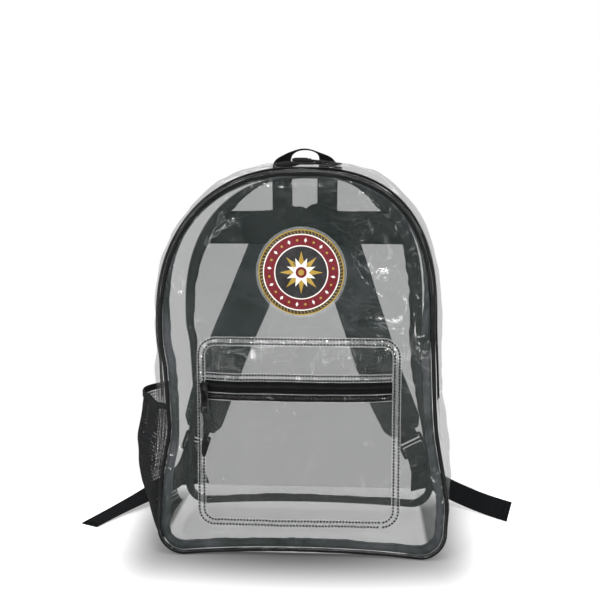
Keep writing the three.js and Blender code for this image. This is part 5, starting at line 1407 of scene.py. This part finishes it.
def moulded_end(build, start, tip, fat, flat=0.75, mat=0):
    """A moulded grip: a neck, two ribs and a body that tapers to its tip."""
    start, tip = np.asarray(start, float), np.asarray(tip, float)
    ahead = (tip - start) / np.linalg.norm(tip - start)
    side = np.cross(ahead, [0, 1, 0.01])
    side /= np.linalg.norm(side)
    up = np.cross(side, ahead)
    shares = np.array([0, 0.02, 0.08, 0.12, 0.15, 0.2, 0.24, 0.28, 0.34, 0.5, 0.7, 0.86, 0.95, 1.0])
    sizes = np.array([0.3, 0.5, 0.55, 0.5, 0.85, 0.9, 0.7, 0.95, 1.0, 1.0, 0.92, 0.8, 0.62, 0.2])
    angles = np.linspace(0, 2 * math.pi, 18, endpoint=False)
    c = start + (tip - start) * shares[:, None]
    ring = c[:, None, :] + side * (sizes[:, None] * fat / 2 * np.cos(angles))[:, :, None]
    ring = ring + up * (sizes[:, None] * fat / 2 * flat * np.sin(angles))[:, :, None]
    build.grid(ring, loop_c=True, mat=mat, caps=True)


def knot(build, place, radius, mat=0):
    turns = np.linspace(0, 2 * math.pi, 40)
    path = np.stack([np.sin(turns) + 2 * np.sin(2 * turns), np.cos(turns) - 2 * np.cos(2 * turns), -np.sin(3 * turns)], -1) / 3
    twisted(build, np.asarray(place) + path * radius * (1, 1, 0.9), 1.0, mat)


def pocket_pull():
    x = POCKET_SHIFT - POCKET_WIDTH / 2 + BORDER_WIDTH + 0.3
    z = ZIP_Z
    inner = np.array([x + 5.5])
    seat = float(pocket_y(inner, np.array([z]), 1.2)[0])
    metal = Build("pocket_zip_slider", PAINT)
    slider_and_tab(metal, lambda a, b, h: (x + a, seat - h, z + b))
    metal.done(["pocket_slider"])
    hanging = Build("pocket_zip_tab", PAINT)
    tab_y = seat - 4.3
    hung_tab(hanging, lambda a, b, h: (x + a, tab_y - h, z + b))
    hanging.done(["pocket_pull_tab"])
    hole = z + TAB_WIDTH * 0.42 - TAB_LENGTH + TAB_WIDTH / 2
    cord = Build("pocket_zip_cord", CORD)
    front = tab_y - 2.4
    twisted(cord, [(x - 1.1, tab_y + 1.2, hole - 3), (x - 0.9, tab_y - 0.5, hole + 0.4), (x, front, hole - 1), (x + 0.6, front, hole - 12), (x + 1, front, hole - 28)], 1.1)
    twisted(cord, [(x + 1.3, tab_y + 1.2, hole - 3), (x + 1.1, tab_y - 0.5, hole + 0.4), (x + 0.6, front - 0.6, hole - 2), (x - 0.4, front + 0.4, hole - 12), (x + 0.4, front, hole - 28)], 1.1)
    knot(cord, (x + 0.2, front - 0.3, hole - 4.5), 2.1)
    cord.done(["pocket_pull_strand"])
    end = Build("pocket_zip_grip", MOULD)
    moulded_end(end, (x + 1, front, hole - 27.5), (x - 1, front, hole - 28.6 - 25), 6.4)
    end.done(["pocket_pull_end"])


pocket_pull()

# x and y over the crest: slider, tab, cord and end, as in the part's source
MAIN_PULLS = {
    "right": (42, (37, -24), ((27, -18), (15, -16)), (-9, -12)),
    "left": (28, (20, -29), ((11, -29), (-1, -29)), (-25, -32)),
}
CREST = np.arange(2 * HALF)[RING[:, 1] > HEIGHT / 2]


def crest(x, y, off):
    at = float(np.interp(-x, -RING[CREST, 0], RING_AT[:-1][CREST]))
    front = float(front_y(x, HEIGHT))
    return gusset(at, (y - front) / (BACK - front), 0, off)


def main_pulls():
    y = float(front_y(0, HEIGHT)) + ZIP_SETBACK + ZIP_WIDTH / 2
    for side, (slider_x, tab_xy, string, end_xy) in MAIN_PULLS.items():
        seat = 1.0
        place = crest(slider_x, y, seat)
        ahead = crest(slider_x - 1, y, seat) - place
        ahead /= np.linalg.norm(ahead)
        across = np.array([0, 1.0, 0])
        up = np.cross(across, ahead)
        up = up if up[2] > 0 else -up
        metal = Build(f"main_zip_slider_{side}", PAINT)
        turn = -1 if side == "right" else 1
        slider_and_tab(metal, lambda a, b, h: place - ahead * a * turn + across * b + up * h)
        metal.done([f"main_slider_{side}"])
        start = crest(slider_x, y, seat + 6.4)
        to = crest(tab_xy[0], tab_xy[1], 4.2)
        down = (to - start) / np.linalg.norm(to - start)
        flat = np.cross(down, [0, 0, 1.0])
        flat /= np.linalg.norm(flat)
        lift = np.cross(flat, down)
        lift = lift if lift[2] > 0 else -lift
        length = float(np.linalg.norm(to - start)) + 4
        tab = Build(f"main_zip_tab_{side}", PAINT)
        hung_tab(tab, lambda a, b, h: start + flat * a - down * b + lift * (h - 0.8), length)
        tab.done([f"main_pull_tab_{side}"])
        path = [to - down * 1.5, to + down * 2.5] + [crest(sx, sy, 3.4) for sx, sy in string]
        path = [catmull(path, t) for t in np.linspace(0, 1, 14)]
        cord = Build(f"main_zip_cord_{side}", CORD)
        twisted(cord, np.array(path), 1.1)
        twisted(cord, np.array(path) + np.array([0.3, 1.1, 0.5]), 1.1)
        knot(cord, path[4], 2.0)
        cord.done([f"main_pull_strand_{side}"])
        last = path[-1]
        tip = crest(*end_xy, 3.8)
        onward = (tip - last) / np.linalg.norm(tip - last)
        grip = Build(f"main_zip_grip_{side}", MOULD)
        moulded_end(grip, last - onward * 0.5, last + onward * 25.6, 6.4)
        grip.done([f"main_pull_end_{side}"])


main_pulls()

# Floor, backdrop, lights and camera, in metres in the part's frame
bpy.ops.mesh.primitive_plane_add(size=14, location=(0, 0, 0))
floor = bpy.context.object
floor.name = "floor"
FLOOR_MAT = material("floor_white", (1.0, 1.0, 1.0), 0.9, specular=0.0)


def floor_nodes():
    """White paper under the bag, with a painted shadow round its foot that also dims its glow there, on a plain bright
    ground behind; gloss sees a dimmer floor.
    """
    n = Nodes(FLOOR_MAT)
    split = n.new("ShaderNodeSeparateXYZ")
    n.link(n.coords("Object"), split.inputs[0])
    x, y = split.outputs[0], split.outputs[1]
    side = n.math("MAXIMUM", n.math("SUBTRACT", n.math("ABSOLUTE", n.math("SUBTRACT", x, 0.006)), 0.15), 0.0)
    front = n.math("MAXIMUM", n.math("SUBTRACT", n.math("MULTIPLY", y, -1.0), 0.094), 0.0)
    spread = n.math("ADD", n.math("POWER", n.math("MULTIPLY", x, 0.3), 2.0), n.math("POWER", n.math("MULTIPLY", side, 1.6), 2.0))
    far = n.math("SQRT", n.math("ADD", spread, n.math("POWER", front, 2.0)))
    # Painted shadow: darkest at the bag's front foot, fading with distance in front and to the sides.
    shade = n.new("ShaderNodeMapRange")
    shade.interpolation_type = "SMOOTHERSTEP"
    n.link(far, shade.inputs["Value"])
    shade.inputs["From Min"].default_value = -0.03
    shade.inputs["From Max"].default_value = 0.22
    shade.inputs["To Min"].default_value = 0.06
    shade.inputs["To Max"].default_value = 1.0
    # No painted shadow under the bag itself, and the painted shadow fades out towards the back.
    reach_x = n.math("MAXIMUM", n.math("SUBTRACT", n.math("ABSOLUTE", x), 0.152), 0.0)
    reach_y = n.math("MAXIMUM", n.math("SUBTRACT", n.math("MULTIPLY", y, -1.0), 0.09), 0.0)
    corner = n.math("MAXIMUM", n.math("SUBTRACT", n.math("SUBTRACT", n.math("ABSOLUTE", x), y), 0.217), 0.0)
    under = n.ramp(n.math("ADD", n.math("ADD", reach_x, reach_y), corner), 1.0, 0.0, 0.0, 0.006)
    level = n.math("MAXIMUM", n.math("MAXIMUM", shade.outputs["Result"], under), n.ramp(y, 0.0, 1.0, 0.04, 0.14))
    beyond = n.ramp(y, 0.0, 1.0, 0.145, 0.15)
    level = n.math("MULTIPLY", level, n.math("SUBTRACT", 1.0, beyond))
    n.set("Base Color", n.colour(level, [(0.0, (0.0, 0.0, 0.0)), (1.0, (1.0, 1.0, 1.0))]))
    n.bsdf.inputs["Emission Color"].default_value = (1, 1, 1, 1)
    # Near the bag the floor also glows, dimmed by the same painted shadow.
    n.set("Emission Strength", n.math("MAXIMUM", beyond, n.math("MULTIPLY", level, 0.45)))
    dim = n.new("ShaderNodeBsdfDiffuse")
    dim.inputs["Color"].default_value = (0.22, 0.22, 0.22, 1)
    mix = n.new("ShaderNodeMixShader")
    n.link(n.new("ShaderNodeLightPath").outputs["Is Glossy Ray"], mix.inputs[0])
    n.link(n.bsdf.outputs[0], mix.inputs[1])
    n.link(dim.outputs[0], mix.inputs[2])
    n.link(mix.outputs[0], n.tree.nodes["Material Output"].inputs[0])


floor_nodes()
floor.data.materials.append(FLOOR_MAT)

world = bpy.data.worlds.new("studio")
bpy.context.scene.world = world
world.use_nodes = True
sky = world.node_tree
plain = sky.nodes["Background"]
plain.inputs["Color"].default_value = (1, 1, 1, 1)
plain.inputs["Strength"].default_value = 1.0


def studio_reflections():
    """What gloss mirrors: a dim room with pale screens at both sides and overhead."""
    def math_node(operation, a, b=0.0):
        node = sky.nodes.new("ShaderNodeMath")
        node.operation = operation
        for k, value in enumerate((a, b)):
            if hasattr(value, "is_linked"):
                sky.links.new(value, node.inputs[k])
            else:
                node.inputs[k].default_value = value
        return node.outputs[0]

    def screen(value, start, end, level):
        node = sky.nodes.new("ShaderNodeMapRange")
        node.interpolation_type = "SMOOTHSTEP"
        node.inputs["From Min"].default_value = start
        node.inputs["From Max"].default_value = end
        node.inputs["To Max"].default_value = level
        sky.links.new(value, node.inputs["Value"])
        return node.outputs["Result"]

    coords = sky.nodes.new("ShaderNodeTexCoord")
    split = sky.nodes.new("ShaderNodeSeparateXYZ")
    sky.links.new(coords.outputs["Generated"], split.inputs[0])
    total = screen(math_node("ABSOLUTE", split.outputs[0]), 0.8, 0.97, 0.1)
    total = math_node("ADD", total, screen(split.outputs[2], 0.7, 0.95, 0.3))
    total = math_node("ADD", total, screen(split.outputs[1], 0.3, 0.8, 0.12))
    # direction across, half width and level of the upright screens beside the camera
    upright = math_node("MULTIPLY", screen(split.outputs[2], -0.2, -0.1, 1.0), screen(split.outputs[1], 0.0, -0.2, 1.0))
    for across, half, level in ((-0.62, 0.04, 4.0), (-0.36, 0.025, 6.0), (0.24, 0.02, 5.0), (0.5, 0.04, 4.0)):
        off = math_node("ABSOLUTE", math_node("SUBTRACT", split.outputs[0], across))
        total = math_node("ADD", total, math_node("MULTIPLY", screen(off, half, half * 0.6, level), upright))
    bar = math_node("ABSOLUTE", math_node("SUBTRACT", split.outputs[2], 0.42))
    total = math_node("ADD", total, screen(bar, 0.03, 0.02, 4.0))
    total = math_node("ADD", total, 0.02)
    mirrored = sky.nodes.new("ShaderNodeBackground")
    sky.links.new(total, mirrored.inputs["Color"])
    path = sky.nodes.new("ShaderNodeLightPath")
    mix = sky.nodes.new("ShaderNodeMixShader")
    sky.links.new(path.outputs["Is Glossy Ray"], mix.inputs[0])
    sky.links.new(plain.outputs[0], mix.inputs[1])
    sky.links.new(mirrored.outputs[0], mix.inputs[2])
    sky.links.new(mix.outputs[0], sky.nodes["World Output"].inputs[0])


studio_reflections()


def area(name, place, target, size, power, size_y=None):
    data = bpy.data.lights.new(name, "AREA")
    data.energy = power
    data.size = size
    if size_y:
        data.shape = "RECTANGLE"
        data.size_y = size_y
    lamp = bpy.data.objects.new(name, data)
    lamp.location = place
    lamp.rotation_euler = (Vector(target) - Vector(place)).to_track_quat("-Z", "Y").to_euler()
    bpy.context.scene.collection.objects.link(lamp)
    return lamp


# name, place, width, length, power
LAMPS = [
    ("top_light", (0.0, -0.3, 2.0), 0.6, 0.6, 4), ("left_strip", (-1.5, -1.0, 1.0), 0.05, 1.2, 3),
    ("right_strip", (1.5, -0.9, 0.9), 0.05, 1.2, 3), ("upper_left_glint", (-0.8, -1.3, 1.6), 0.06, 0.4, 4),
    ("upper_right_glint", (0.9, -1.2, 1.7), 0.06, 0.4, 4), ("low_left_glint", (-1.3, -1.0, 0.35), 0.06, 0.2, 2),
    ("low_right_glint", (1.2, -1.2, 0.3), 0.06, 0.2, 2), ("crown_glint", (0.05, -0.9, 1.9), 0.5, 0.06, 5),
    ("glint_1", (-0.45, -1.5, 1.0), 0.03, 0.1, 0.8), ("glint_2", (0.5, -1.45, 0.95), 0.03, 0.1, 0.8),
    ("glint_3", (-0.8, -1.3, 0.5), 0.03, 0.1, 0.8), ("glint_4", (0.8, -1.35, 0.55), 0.03, 0.1, 0.8),
    ("glint_5", (-0.15, -1.4, 1.25), 0.1, 0.03, 0.8), ("glint_6", (0.3, -1.6, 1.35), 0.1, 0.03, 0.8),
    ("glint_7", (-0.85, -1.2, 0.14), 0.1, 0.03, 0.8), ("glint_8", (0.35, -1.5, 0.15), 0.03, 0.08, 0.35),
    ("glint_9", (-0.62, -1.5, 0.62), 0.02, 0.05, 0.5), ("glint_10", (0.08, -1.5, 0.72), 0.05, 0.02, 0.5),
    ("glint_11", (-0.3, -1.5, 0.78), 0.05, 0.02, 0.5),
]
for lamp_name, lamp_place, lamp_width, lamp_length, lamp_power in LAMPS:
    area(lamp_name, lamp_place, (0, 0, 0.2), lamp_width, lamp_power, lamp_length)

camera_data = bpy.data.cameras.new("camera")
camera_data.sensor_width = 36
camera_data.lens = 36 * 960 / 600
camera = bpy.data.objects.new("camera", camera_data)
bpy.context.scene.collection.objects.link(camera)
YAW, PITCH = math.radians(3.5), math.radians(7)
eye = Vector(((67.4 + SHIFT[0]) / 1000, (-1123.0 + SHIFT[1]) / 1000, 0.418))
look = Vector((-math.sin(YAW) * math.cos(PITCH), math.cos(YAW) * math.cos(PITCH), -math.sin(PITCH)))
camera.location = eye
camera.rotation_euler = look.to_track_quat("-Z", "Y").to_euler()
bpy.context.scene.camera = camera
bpy.context.scene.view_settings.view_transform = "Standard"
